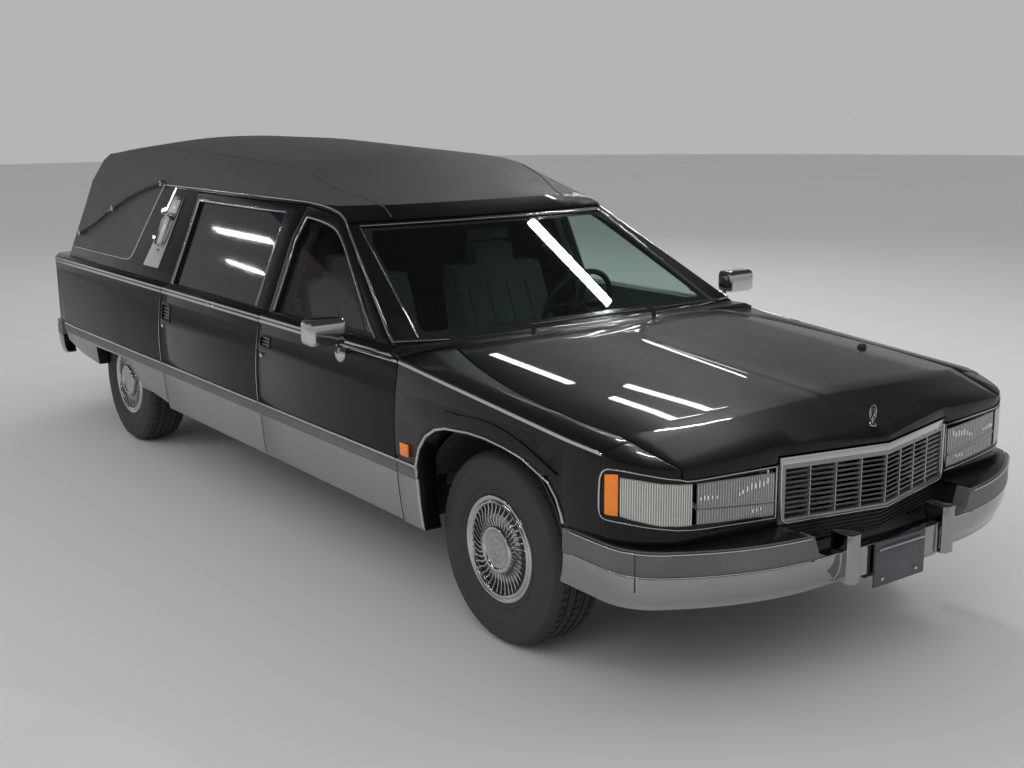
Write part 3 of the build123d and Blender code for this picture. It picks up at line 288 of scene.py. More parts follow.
def build_finishes(colors):
    """Every finish of the hearse."""
    build_effects()
    finish("Gloss black paint", tuple(colors.paint), (0.0042, 0.0038, 0.0042), (0.3, 0.42), coat=0.42,
           coat_rough=0.02, drops=(150.0, 0.5, 0.0004), cloud=2.0, shine=0.1)
    finish("Jamb black", (0.012, 0.012, 0.013), (0.02, 0.02, 0.02), (0.35, 0.5), grain=(300.0, 0.1, 0.0002))
    finish("Grained vinyl", tuple(colors.vinyl), (0.058, 0.055, 0.057), (0.46, 0.62),
           grain=(420.0, 0.7, 0.0006), cloud=1.6)
    finish("Headliner", (0.13, 0.13, 0.135), (0.11, 0.11, 0.115), (0.85, 0.95), weave=(700.0, 0.4, 0.0004))
    finish("Bright chrome", (0.66, 0.66, 0.67), (0.58, 0.58, 0.59), (0.06, 0.15), metallic=1.0, cloud=9.0)
    finish("Satin cladding", tuple(colors.cladding), (0.34, 0.33, 0.315), (0.28, 0.42), metallic=0.9,
           grain=(500.0, 0.12, 0.0002), cloud=3.0)
    finish("Ribbed grey band", tuple(colors.band), (0.16, 0.16, 0.165), (0.42, 0.55), grain=(600.0, 0.3, 0.0003))
    finish("Windscreen glass", (0.5, 0.66, 0.58), (0.5, 0.66, 0.58), (0.0, 0.02), glass=1.0, ior=1.02, coat=0.8,
           coat_rough=0.01, drops=(170.0, 0.35, 0.0003))
    finish("Glass border", (0.006, 0.006, 0.007), (0.009, 0.009, 0.01), (0.06, 0.12), coat=1.0, cloud=20.0)
    finish("Dark glass", (0.006, 0.007, 0.01), (0.005, 0.006, 0.009), (0.02, 0.05), glass=0.12, coat=0.3,
           coat_rough=0.01, shine=0.3)
    finish("Grey glass", (0.9, 0.92, 0.915), (0.9, 0.92, 0.915), (0.0, 0.02), glass=1.0, ior=1.02, coat=0.3,
           coat_rough=0.01)
    finish("Lamp cover", (0.93, 0.95, 0.95), (0.93, 0.95, 0.95), (0.02, 0.05), glass=1.0, ior=1.15)
    # Headlamp lenses are opaque sheets laid over the hidden clear covers. Their tones are painted reflection of the
    # silver reflectors seen through glass, pale on the outer lamps and darker on the inner, and the flutes carry
    # the same painted reflection
    finish("Fluted lens", (0.17, 0.165, 0.15), (0.3, 0.295, 0.27), (0.16, 0.3), metallic=0.35, coat=1.0,
           cloud=24.0)
    finish("Pale flutes", (0.58, 0.57, 0.52), (0.74, 0.73, 0.69), (0.14, 0.28), metallic=0.3, cloud=34.0)
    finish("Dark reflection lens", (0.075, 0.078, 0.08), (0.19, 0.195, 0.195), (0.12, 0.26), metallic=0.3, coat=1.0,
           cloud=30.0)
    finish("Dusky flutes", (0.27, 0.275, 0.28), (0.6, 0.605, 0.6), (0.14, 0.28), metallic=0.4, cloud=34.0)
    finish("Lens bar", (0.17, 0.175, 0.18), (0.15, 0.155, 0.16), (0.2, 0.3), coat=1.0)
    # Painted highlight for the bright patches on the inner lenses
    finish("Lens glint", (0.9, 0.91, 0.92), (0.8, 0.81, 0.82), (0.05, 0.12), metallic=0.6, cloud=60.0)
    finish("Bumper chrome", (0.42, 0.415, 0.41), (0.35, 0.35, 0.345), (0.04, 0.1), metallic=1.0, cloud=6.0)
    finish("Grille grey", (0.3, 0.3, 0.305), (0.24, 0.24, 0.245), (0.22, 0.34), metallic=0.7, cloud=30.0)
    finish("Hatched band", (0.115, 0.115, 0.122), (0.2, 0.2, 0.205), (0.34, 0.5), metallic=0.3,
           weave=(130.0, 0.8, 0.001))
    finish("Seat seam", (0.06, 0.06, 0.065), (0.05, 0.05, 0.055), (0.8, 0.95))
    finish("Lantern glass", (0.56, 0.55, 0.52), (0.42, 0.42, 0.4), (0.12, 0.25), metallic=0.4, coat=1.0,
           cloud=26.0)
    finish("Lamp silver", (0.82, 0.83, 0.84), (0.68, 0.69, 0.7), (0.08, 0.2), metallic=1.0, cloud=30.0)
    finish("Amber lens", (0.85, 0.24, 0.012), (0.72, 0.17, 0.008), (0.1, 0.18), glass=0.2, coat=0.6,
           glow=(0.9, 0.24, 0.01, 0.05))
    finish("Red lens", (0.42, 0.012, 0.012), (0.32, 0.01, 0.01), (0.08, 0.16), coat=0.8)
    finish("Tyre rubber", (0.022, 0.022, 0.023), (0.036, 0.035, 0.033), (0.62, 0.8), grain=(700.0, 0.35, 0.0004),
           cloud=12.0)
    finish("Chassis black", (0.022, 0.022, 0.022), (0.05, 0.045, 0.04), (0.5, 0.75), grain=(160.0, 0.25, 0.0005),
           cloud=9.0)
    finish("Cast iron", (0.16, 0.16, 0.155), (0.1, 0.095, 0.09), (0.6, 0.8), metallic=0.5,
           grain=(260.0, 0.5, 0.0008), cloud=14.0)
    finish("Dull steel", (0.34, 0.32, 0.29), (0.22, 0.18, 0.15), (0.4, 0.65), metallic=0.9, cloud=18.0)
    finish("Dark plastic", (0.022, 0.022, 0.023), (0.03, 0.03, 0.03), (0.45, 0.6), grain=(500.0, 0.4, 0.0004))
    finish("Cover silver", (0.5, 0.5, 0.5), (0.42, 0.42, 0.43), (0.22, 0.34), metallic=0.9, cloud=14.0)
    finish("Wheel shadow", (0.05, 0.05, 0.052), (0.08, 0.08, 0.08), (0.35, 0.5), metallic=0.7, cloud=20.0)
    finish("Seat cloth", tuple(colors.cloth), (0.16, 0.16, 0.165), (0.85, 0.95), sheen=0.3,
           weave=(520.0, 0.6, 0.0006), cloud=5.0)
    finish("Deck wood", (0.17, 0.085, 0.04), (0.1, 0.05, 0.025), (0.22, 0.36), coat=0.5, cloud=10.0)
    finish("Cabin carpet", (0.05, 0.05, 0.052), (0.07, 0.07, 0.07), (0.9, 1.0), grain=(350.0, 1.0, 0.0012))
    finish("Mirror silver", (0.86, 0.87, 0.88), (0.86, 0.87, 0.88), (0.01, 0.03), metallic=1.0)
    finish("Studio floor", tuple(colors.floor), (0.46, 0.45, 0.435), (0.62, 0.8), cloud=0.7)
    finish("Plate blank", (0.055, 0.052, 0.062), (0.07, 0.066, 0.075), (0.35, 0.5), cloud=20.0)


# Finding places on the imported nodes

skins = {}


def surface_of(mesh):
    """A mesh as a surface that a line can meet."""
    return BVHTree.FromPolygons([vertex.co for vertex in mesh.vertices], [face.vertices for face in mesh.polygons])


def skin_of(node):
    """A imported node's surface, kept once it is built."""
    if node not in skins:
        skins[node] = surface_of(frame["nodes"][node].data)
    return skins[node]


def probe(start, heading, nodes):
    """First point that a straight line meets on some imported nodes, or None."""
    best = None
    for node in nodes:
        place, _, _, reach = skin_of(node).ray_cast(Vector(start), Vector(heading).normalized())
        if place is not None and (best is None or reach < best[1]):
            best = (place, reach)
    return best[0] if best else None


def touch(x, z, side, nodes, proud=0.0):
    """A point on the outer skin of some nodes, seen straight from one side."""
    place = probe((x, side * BESIDE, z), (0, -side, 0), nodes)
    half = abs(place.y) if place else SHOULDER_HALF - SIDE_LEAN * (z - SHOULDER_Z)
    return (x, side * (half + proud), z)


def end_point(station, z, side, nodes, proud=0.0, end=1, least_half=0.0, least_reach=0.0):
    """A point on the skin of the front end, or of the rear end with end -1.

    A station over 1 m is a distance along the length, met from the side; one under it is a half width, met
    from the end. Where nothing is met at a height, the heights next to it are tried.
    """
    for shift in (0.0, -0.005, 0.005, -0.01, 0.01):
        if station > 1:
            place = probe((end * station, side * BESIDE, z + shift), (0, -side, 0), nodes)
            if place and abs(place.y) > least_half:
                return (end * station, side * (abs(place.y) + proud), z)
        else:
            place = probe((end * BEYOND, side * station, z + shift), (-end, 0, 0), nodes)
            if place and end * place.x > least_reach:
                return (place.x + end * proud, side * station, z)
    raise ValueError(f"no skin at {station}, {z}")


def nose_point(station, z, side, proud=0.0):
    """A point on the nose's skin, by the same stations."""
    nodes = (f"front_fender_{SIDE_NAMES[side]}", "nose_panel", "lamp_covers", "lamp_ambers")
    return end_point(station, z, side, nodes, proud, least_half=0.5, least_reach=2.6)


# Making pieces


def calm():
    """Back to object mode with nothing selected."""
    active = bpy.context.view_layer.objects.active
    if active and active.mode != "OBJECT":
        bpy.ops.object.mode_set(mode="OBJECT")
    bpy.ops.object.select_all(action="DESELECT")


def pick(piece):
    """Select one piece alone."""
    calm()
    piece.select_set(True)
    bpy.context.view_layer.objects.active = piece


def open_mesh(piece):
    """Edit mode on a piece with its whole mesh selected."""
    pick(piece)
    bpy.ops.object.mode_set(mode="EDIT")
    bpy.ops.mesh.select_mode(type="FACE")
    bpy.ops.mesh.select_all(action="SELECT")


def select_faces(piece, rule):
    """Select the faces whose middle and normal pass a rule, and open the mesh."""
    pick(piece)
    mesh = piece.data
    flags = [bool(rule(face.center, face.normal)) for face in mesh.polygons]
    bpy.ops.object.mode_set(mode="EDIT")
    bpy.ops.mesh.select_mode(type="FACE")
    bpy.ops.mesh.select_all(action="DESELECT")
    bpy.ops.object.mode_set(mode="OBJECT")
    mesh.polygons.foreach_set("select", flags)
    bpy.ops.object.mode_set(mode="EDIT")
    return any(flags)


def drop_faces(piece, rule):
    """Delete the faces that pass a rule."""
    if select_faces(piece, rule):
        bpy.ops.mesh.delete(type="FACE")
    calm()


def take(name, *nodes):
    """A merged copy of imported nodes, free to be shaped."""
    twins = []
    for node in nodes:
        twins.append(bpy.data.objects.new(name, frame["nodes"][node].data.copy()))
        bpy.context.scene.collection.objects.link(twins[-1])
    piece = join(name, twins)
    piece.data.materials.clear()
    open_mesh(piece)
    bpy.ops.mesh.remove_doubles(threshold=0.00003)
    bpy.ops.mesh.customdata_custom_splitnormals_clear()
    bpy.ops.mesh.select_all(action="SELECT")
    bpy.ops.mesh.dissolve_limited(angle_limit=math.radians(0.4))
    calm()
    return piece


def cut(piece, point, normal, drop=False):
    """Slice a piece by a plane, and drop what lies on the normal's side if asked."""
    open_mesh(piece)
    bpy.ops.mesh.bisect(plane_co=point, plane_no=normal, clear_outer=drop)
    calm()


def modify(piece, kind, **values):
    """Add a modifier, set it and apply it."""
    pick(piece)
    bpy.ops.object.modifier_add(type=kind)
    modifier = piece.modifiers[-1]
    for key, value in values.items():
        setattr(modifier, key, value)
    bpy.ops.object.modifier_apply(modifier=modifier.name)


def paint(piece, names, rule=None):
    """Give a piece its finishes, each face the one that a rule picks."""
    piece.data.materials.clear()
    for name in names:
        piece.data.materials.append(finishes[name])
    for face in piece.data.polygons:
        face.material_index = rule(face.center, face.normal) if rule else 0


def settle(piece, body, slot, replaced=(), edge=0.0, angle=32, segments=2):
    """Round the edges, smooth, and put the piece on its body."""
    if edge:
        modify(
            piece, "BEVEL", width=edge, segments=segments, limit_method="ANGLE", angle_limit=math.radians(38),
            use_clamp_overlap=True, harden_normals=False,
        )
    pick(piece)
    bpy.ops.object.shade_smooth_by_angle(angle=math.radians(angle))
    calm()
    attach(piece, body)
    if replaced:
        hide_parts(*replaced)
    return piece


def join(name, pieces):
    """Several meshes as one piece."""
    calm()
    for piece in pieces:
        piece.select_set(True)
    bpy.context.view_layer.objects.active = pieces[0]
    if len(pieces) > 1:
        bpy.ops.object.join()
    calm()
    pieces[0].name = name
    pieces[0].data.name = name
    return pieces[0]


def moved(piece, name, matrix):
    """A copy of a piece, moved in its mesh."""
    twin = bpy.data.objects.new(name, piece.data.copy())
    bpy.context.scene.collection.objects.link(twin)
    twin.data.transform(matrix)
    return twin


def mirrored(piece, name):
    """A copy of a piece on the other side, with its faces pointing outwards."""
    twin = moved(piece, name, Matrix.Scale(-1, 4, Vector((0, 1, 0))))
    open_mesh(twin)
    bpy.ops.mesh.flip_normals()
    calm()
    return twin


def bar(name, points, radius, smooth=False, closed=False, resolution=2):
    """A bent round bar through points."""
    calm()
    bpy.ops.curve.primitive_bezier_curve_add(location=(0, 0, 0))
    piece = bpy.context.view_layer.objects.active
    piece.name = name
    curve = piece.data
    curve.splines.clear()
    spline = curve.splines.new("NURBS" if smooth else "POLY")
    spline.points.add(len(points) - 1)
    for knot, point in zip(spline.points, points):
        knot.co = (*point, 1.0)
    if smooth:
        spline.order_u = 3
        spline.use_endpoint_u = not closed
        spline.resolution_u = 6
    spline.use_cyclic_u = closed
    curve.dimensions = "3D"
    curve.bevel_depth = radius
    curve.bevel_resolution = resolution
    curve.use_fill_caps = not closed
    pick(piece)
    bpy.ops.object.convert(target="MESH")
    piece = bpy.context.view_layer.objects.active
    open_mesh(piece)
    bpy.ops.mesh.remove_doubles(threshold=0.00002)
    bpy.ops.mesh.normals_make_consistent(inside=False)
    calm()
    piece.data.materials.clear()
    return piece


def slab(name, low, high, edge=0.0, segments=3):
    """A block between two corners with softened edges."""
    calm()
    middle = (Vector(low) + Vector(high)) / 2
    bpy.ops.mesh.primitive_cube_add(size=1, location=middle)
    piece = bpy.context.view_layer.objects.active
    piece.name = name
    piece.scale = [abs(b - a) for a, b in zip(low, high)]
    bpy.ops.object.transform_apply(location=True, rotation=True, scale=True)
    if edge:
        open_mesh(piece)
        bpy.ops.mesh.bevel(offset=edge, segments=segments, affect="EDGES")
        calm()
    return piece


def trace(name, points):
    """A chain of edges drawn point by point."""
    calm()
    bpy.ops.mesh.primitive_plane_add(size=0.001, location=points[0])
    piece = bpy.context.view_layer.objects.active
    piece.name = name
    bpy.ops.object.transform_apply(location=True, rotation=True, scale=True)
    bpy.ops.object.mode_set(mode="EDIT")
    bpy.ops.mesh.select_mode(type="VERT")
    bpy.ops.mesh.select_all(action="SELECT")
    bpy.ops.mesh.merge(type="CENTER")
    here = Vector(points[0])
    for point in points[1:]:
        there = Vector(point)
        bpy.ops.mesh.extrude_vertices_move(TRANSFORM_OT_translate={"value": there - here})
        here = there
    return piece


def plate(name, points, push, edge=0.0):
    """A flat outline pushed out to a thickness."""
    piece = trace(name, points)
    bpy.ops.mesh.select_all(action="SELECT")
    bpy.ops.mesh.edge_face_add()
    bpy.ops.mesh.select_mode(type="FACE")
    bpy.ops.mesh.select_all(action="SELECT")
    bpy.ops.mesh.extrude_region_move(TRANSFORM_OT_translate={"value": Vector(push)})
    bpy.ops.mesh.select_all(action="SELECT")
    bpy.ops.mesh.normals_make_consistent(inside=False)
    if edge:
        bpy.ops.mesh.bevel(offset=edge, segments=2, affect="EDGES")
    calm()
    return piece


def turned(name, profile, centre, steps, side=RIGHT):
    """A profile of (radius, outward) points spun round an axle along Y."""
    x, y, z = centre
    points = [(x + radius, y + side * out, z) for radius, out in profile]
    piece = trace(name, points)
    bpy.ops.mesh.select_all(action="SELECT")
    bpy.ops.mesh.spin(steps=steps, angle=math.tau, center=centre, axis=(0, 1, 0))
    bpy.ops.mesh.select_all(action="SELECT")
    bpy.ops.mesh.remove_doubles(threshold=0.00002)
    bpy.ops.mesh.normals_make_consistent(inside=False)
    calm()
    return piece


def skin_band(node, keep_rule, cuts, rise):
    """A strip of a panel's own outer skin, raised by a thickness, or None where the cuts leave nothing."""
    piece = take("strip", node)
    drop_faces(piece, lambda middle, normal: not keep_rule(middle, normal))
    for point, normal in cuts:
        cut(piece, point, normal, drop=True)
    if not piece.data.polygons:
        bpy.data.objects.remove(piece)
        return None
    modify(piece, "SOLIDIFY", thickness=rise, offset=1.0)
    return piece


def dome(name, place, radius, rise, heading):
    """A low round button standing on a place and looking along a heading."""
    profile = ((0.0, 1.0), (0.45, 0.93), (0.8, 0.66), (1.0, 0.18), (1.0, -0.2), (0.0, -0.2), (0.0, 1.0))
    piece = turned(name, [(radius * a, rise * b) for a, b in profile], (0, 0, 0), 28, LEFT)
    turn = Vector((0, 1, 0)).rotation_difference(Vector(heading)).to_matrix().to_4x4()
    piece.data.transform(Matrix.Translation(Vector(place)) @ turn)
    return piece


def nose_strip(name, rows, side, proud, rise=0.003, levels=4):
    """A thin sheet over the nose's skin between two heights at each station."""
    calm()
    bpy.ops.mesh.primitive_grid_add(
        x_subdivisions=levels, y_subdivisions=len(rows) - 1, size=1, location=(0, 0, 0)
    )
    piece = bpy.context.view_layer.objects.active
    piece.name = name
    points = []
    for station, low, top in rows:
        points += [nose_point(station, low + (top - low) * k / levels, side, proud) for k in range(levels + 1)]
    piece.data.vertices.foreach_set("co", [value for point in points for value in point])
    piece.data.update()
    outwards = sum((face.normal for face in piece.data.polygons), Vector()).dot(Vector((1, side, 0)))
    if outwards < 0:
        open_mesh(piece)
        bpy.ops.mesh.flip_normals()
        calm()
    modify(piece, "SOLIDIFY", thickness=rise, offset=1.0)
    return piece


def finished(name, pieces, material, body, slot, **settings):
    """Several meshes as one piece of one finish on one body."""
    piece = join(name, pieces)
    paint(piece, (material,))
    return settle(piece, body, slot, **settings)


def chromed(name, pieces, body="body", **settings):
    """Several meshes as one bright piece."""
    settings.setdefault("angle", 50)
    return finished(name, pieces, "Bright chrome", body, "bright_chrome", **settings)


def dressed(name, node, materials, body, slot, rule=None, **settings):
    """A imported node's own shape as a piece that stands for it."""
    piece = take(name, node)
    paint(piece, materials, rule)
    return settle(piece, body, slot, (node,), **settings)


def between(low, high):
    """Cuts that keep what lies between two heights."""
    return (((0, 0, high), (0, 0, 1)), ((0, 0, low), (0, 0, -1)))


def box_about(half, low, high):
    """Corners of an upright box about the middle line, as (sideways, height)."""
    return ((-half, low), (half, low), (half, high), (-half, high))


def round_about(middle, across, up, steps):
    """Even points round an ellipse, as (sideways, height)."""
    turns = [math.tau * step / steps for step in range(steps)]
    return [(middle[0] + across * math.cos(turn), middle[1] + up * math.sin(turn)) for turn in turns]


def body_of_node(node):
    """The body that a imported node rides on."""
    for body, members in frame["record"]["behaviour"]["bodies"].items():
        if node in members:
            return body
    raise ValueError(f"no body holds {node}")


def outer_side(side):
    """Rule for faces that look out to one side."""
    return lambda middle, normal: normal.y * side > 0.35


class HEARSE_OT_finishes(bpy.types.Operator):
    """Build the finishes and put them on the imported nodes"""

    bl_idname = "hearse.finishes"
    bl_label = "Finishes"

    def execute(self, context):
        build_finishes(context.scene.hearse_colors)
        by_slot = {
            "black_paint": "Gloss black paint", "roof_vinyl": "Grained vinyl", "clear_glass": "Windscreen glass",
            "dark_glass": "Dark glass", "bright_chrome": "Bright chrome", "grey_trim": "Ribbed grey band",
            "lamp_lens": "Lamp cover", "amber_lens": "Amber lens", "red_lens": "Red lens",
            "lamp_silver": "Lamp silver", "tyre_rubber": "Tyre rubber", "chassis_black": "Chassis black",
            "cast_block": "Cast iron", "exhaust_steel": "Dull steel", "dark_plastic": "Dark plastic",
            "seat_cloth": "Seat cloth", "deck_wood": "Deck wood",
        }
        for row in frame["record"]["subparts"]:
            node = frame["nodes"][row["node"]]
            node.data.materials.clear()
            node.data.materials.append(finishes[by_slot[row["material_slot"]]])
        return {"FINISHED"}


PANEL_FINISHES = ("Gloss black paint", "Satin cladding", "Ribbed grey band", "Seat cloth", "Jamb black")


def panel_rule(middle, normal):
    """Paint above, grey band and satin cladding below, trim inside."""
    inwards = normal.y * (1 if middle.y > 0 else -1) < -0.5
    if inwards and abs(middle.y) < 0.93 and middle.x < LINE_A:
        return 3
    if inwards or abs(normal.x) > 0.8 and middle.x < LINE_A:
        return 4 if inwards else 0
    if middle.x < 1.62 and abs(normal.y) > 0.5:
        if middle.z < TRIM_Z - 0.001:
            return 1
        if middle.z < BAND_Z - 0.001:
            return 2
    return 0


class HEARSE_OT_panels(bpy.types.Operator):
    """Doors, fenders, quarters, hood, nose, cowl and loading door"""

    bl_idname = "hearse.panels"
    bl_label = "Body panels"

    def execute(self, context):
        nodes = [f"{stem}_{side}" for stem in ("door_front", "door_rear", "front_fender", "quarter_panel")
                 for side, _ in SIDES]
        nodes += ["hood", "nose_panel", "cowl", "loading_door", "bumper_fillers"]
        for node in nodes:
            panel = take(f"panel_{node}", node)
            if node not in ("hood", "nose_panel", "cowl", "bumper_fillers"):
                for height in (TRIM_Z, BAND_Z):
                    cut(panel, (0, 0, height), (0, 0, 1))
            if node in ("hood", "cowl"):
                for lane in range(-28, 31):
                    cut(panel, (lane * LANE, 0, 0), (1, 0, 0))
            paint(panel, PANEL_FINISHES, panel_rule)
            settle(panel, body_of_node(node), "black_paint", (node,), edge=0.003)
        return {"FINISHED"}


class HEARSE_OT_roof(bpy.types.Operator):
    """Vinyl roof and landau quarters, painted pillars and headliner"""

    bl_idname = "hearse.roof"
    bl_label = "Roof"

    def execute(self, context):
        roof = take("roof_shell", "roof")
        low, high = Vector((-1.566, 0, 1.104)), Vector((-1.423, 0, 1.496))
        along = (high - low).normalized()
        ahead = Vector((along.z, 0, -along.x))
        cut(roof, (0, 0, DRIP_Z), (0, 0, 1))
        cut(roof, low, ahead)
        cut(roof, (0, 0, QUARTER_Z), (0, 0, 1))

        def rule(middle, normal):
            towards = Vector((0, middle.y, middle.z - 1.15 if middle.z > 1.5 else 0))
            if normal.dot(towards) < -0.02:
                return 2
            if middle.z > DRIP_Z:
                return 0
            if (middle - low).dot(ahead) < 0 and middle.z > QUARTER_Z:
                return 0
            return 1

        paint(roof, ("Grained vinyl", "Gloss black paint", "Headliner"), rule)
        settle(roof, "body", "roof_vinyl", ("roof",), edge=0.004, angle=40)
        return {"FINISHED"}


class HEARSE_OT_side_trim(bpy.types.Operator):
    """Belt mouldings, ribbed band, cladding bead and door edge guards"""

    bl_idname = "hearse.side_trim"
    bl_label = "Side trim"

    def execute(self, context):
        ribs = context.scene.hearse_sizes.rib_count
        for side_name, side in SIDES:
            look = outer_side(side)
            for stem in ("front_fender", "door_front", "door_rear", "quarter_panel"):
                node = f"{stem}_{side_name}"
                body = body_of_node(node)
                strips = []
                fender_end = (((TRIM_END_X, 0, 0), (1, 0, 0)),) if stem == "front_fender" else ()
                # Belt moulding, two lines along the shoulder, and a bead over the grey band
                for drop_low, drop_high in ((0.03, 0.018), (0.012, 0.002)):
                    cuts = between(BELT_Z - drop_low, BELT_Z - drop_high)
                    if stem == "front_fender":
                        level = Vector((CLIP_SLOPE, 0, 1)).normalized()
                        foot = Vector((LINE_A, 0, BELT_Z))
                        cuts = (
                            (foot - Vector((0, 0, drop_high)), level),
                            (foot - Vector((0, 0, drop_low)), -level),
                        )
                    strips.append(skin_band(node, look, cuts, 0.0035))
                cuts = (*between(BAND_Z - 0.002, BAND_Z + 0.009), *fender_end)
                strips.append(skin_band(node, look, cuts, 0.005))
                moulding = [strip for strip in strips if strip]
                chromed(f"belt_moulding_{node}", moulding, body, edge=0.0012, angle=32)
                # Ribs of the grey band
                pitch = (BAND_Z - TRIM_Z - 0.004) / ribs
                feet = [TRIM_Z + 0.001 + rib * pitch for rib in range(ribs)]
                strips = [
                    skin_band(node, look, (*between(foot, foot + pitch * 0.62), *fender_end), 0.003)
                    for foot in feet
                ]
                strips = [strip for strip in strips if strip]
                if strips:
                    finished(f"side_ribs_{node}", strips, "Ribbed grey band", body, "grey_trim", edge=0.0012)
                # Edge guard down the rear edge of each door
                if stem in ("door_front", "door_rear"):
                    line = LINE_B if stem == "door_front" else LINE_C
                    cuts = (((line + 0.008, 0, 0), (1, 0, 0)), *between(0.36, 0.975))
                    guard = skin_band(node, look, cuts, 0.003)
                    if guard:
                        chromed(f"edge_guard_{node}", [guard], body, edge=0.001, angle=32)
        return {"FINISHED"}


# Runs of moulding in side view, as (x, z) along the right side
DRIP_LINE = (
    (-1.425, 1.51), (-1.0, 1.511), (-0.5, 1.511), (0.0, 1.51), (0.24, 1.507), (0.36, 1.5), (0.45, 1.49),
    (0.54, 1.474), (0.6, 1.452), (0.7, 1.392), (0.85, 1.306), (1.0, 1.219), (1.15, 1.133), (1.27, 1.064),
    (1.33, 1.038), (1.372, 1.028),
)
QUARTER_LINE = (
    (-1.423, 1.506), (-1.448, 1.443), (-1.473, 1.38), (-1.498, 1.317), (-1.523, 1.25), (-1.545, 1.18),
    (-1.562, 1.128), (-1.58, 1.102), (-1.61, 1.09), (-1.66, 1.086), (-1.9, 1.085), (-2.2, 1.084),
    (-2.52, 1.083),
)
FRONT_WINDOW = (
    (0.283, 1.034), (0.283, 1.12), (0.283, 1.24), (0.283, 1.36), (0.284, 1.436), (0.292, 1.445), (0.42, 1.434),
    (0.49, 1.425), (0.549, 1.413), (0.59, 1.399), (0.628, 1.381), (0.69, 1.347), (0.751, 1.309), (0.9, 1.216),
    (1.05, 1.122), (1.196, 1.032),
)
REAR_WINDOW = (
    (0.1, 1.032), (0.1, 1.16), (0.1, 1.3), (0.1, 1.446), (0.092, 1.454), (-0.2, 1.454), (-0.55, 1.454),
    (-0.888, 1.454), (-0.897, 1.446), (-0.901, 1.3), (-0.906, 1.16), (-0.91, 1.032),
)
ROOF_SEAM = (
    (-2.33, 0.585), (-1.6, 0.6), (-0.9, 0.606), (-0.2, 0.608), (0.14, 0.607), (0.3, 0.6), (0.42, 0.556),
    (0.522, 0.517), (0.6, 0.506), (0.652, 0.502),
)


class HEARSE_OT_greenhouse_trim(bpy.types.Operator):
    """Drip rails, window frames, quarter beads, windscreen moulding and roof seams"""

    bl_idname = "hearse.greenhouse_trim"
    bl_label = "Greenhouse trim"

    def execute(self, context):
        radius = context.scene.hearse_sizes.bead_radius
        for side_name, side in SIDES:
            runs = []
            for line, thick in ((DRIP_LINE, 0.85), (QUARTER_LINE, 0.75)):
                points = [touch(x, z, side, ("roof",), 0.001) for x, z in line]
                runs.append(bar("run", points, radius * thick))
            # Upright moulding between windscreen and pillar
            points = []
            for step in range(9):
                share = step / 8
                y, z = side * (0.805 - 0.128 * share), 1.04 + 0.378 * share
                place = probe((BEYOND, y, z), (-1, 0, 0), ("roof", "windscreen"))
                points.append((place.x + 0.001, y, z))
            runs.append(bar("run", points, radius * 0.6))
            chromed(f"body_trim_{side_name}", runs)
            for stem, line in (("front", FRONT_WINDOW), ("rear", REAR_WINDOW)):
                node = f"door_{stem}_{side_name}"
                points = [touch(x, z, side, (node,), 0.0005) for x, z in line]
                chromed(f"{stem}_window_frame_{side_name}", [bar("run", points, radius)], node)
            points = []
            for x, y in ROOF_SEAM:
                place = probe((x, side * y, BESIDE), (0, 0, -1), ("roof",))
                points.append((x, side * y, place.z + 0.0005))
            seam = bar("seam", points, 0.0032)
            finished(f"roof_seam_{side_name}", [seam], "Grained vinyl", "body", "roof_vinyl", angle=60)
        points = []
        for step in range(13):
            y = -0.672 + 0.112 * step
            place = probe((BEYOND, y, HEADER_Z), (-1, 0, 0), ("roof",))
            points.append((place.x + 0.001, y, HEADER_Z))
        chromed("header_moulding", [bar("run", points, 0.0048)])
        return {"FINISHED"}


# Lip of the front wheel arch in side view, from the sill round to the bumper
FRONT_ARCH_LINE = (
    (1.589, 0.36), (1.588, 0.45), (1.59, 0.54), (1.606, 0.618), (1.636, 0.69), (1.684, 0.746), (1.748, 0.783),
    (1.815, 0.801), (1.875, 0.807), (1.96, 0.815), (2.06, 0.816), (2.17, 0.808), (2.276, 0.793), (2.345, 0.77),
    (2.405, 0.736), (2.446, 0.69), (2.468, 0.64), (2.476, 0.614),
)


class HEARSE_OT_arches(bpy.types.Operator):
    """Bright lips round the front wheel arches"""

    bl_idname = "hearse.arches"
    bl_label = "Arch lips"

    def execute(self, context):
        for side_name, side in SIDES:
            node = f"front_fender_{side_name}"
            points = [touch(x, z, side, (node,), 0.0) for x, z in FRONT_ARCH_LINE]
            halves = [min(max(abs(y), 0.956), 0.999) for _, y, _ in points]
            halves[-1] = halves[-2]
            points = [(x, side * half, z) for (x, _, z), half in zip(points, halves)]
            chromed(f"arch_lip_{side_name}", [bar("lip", points, 0.0065)])
        return {"FINISHED"}


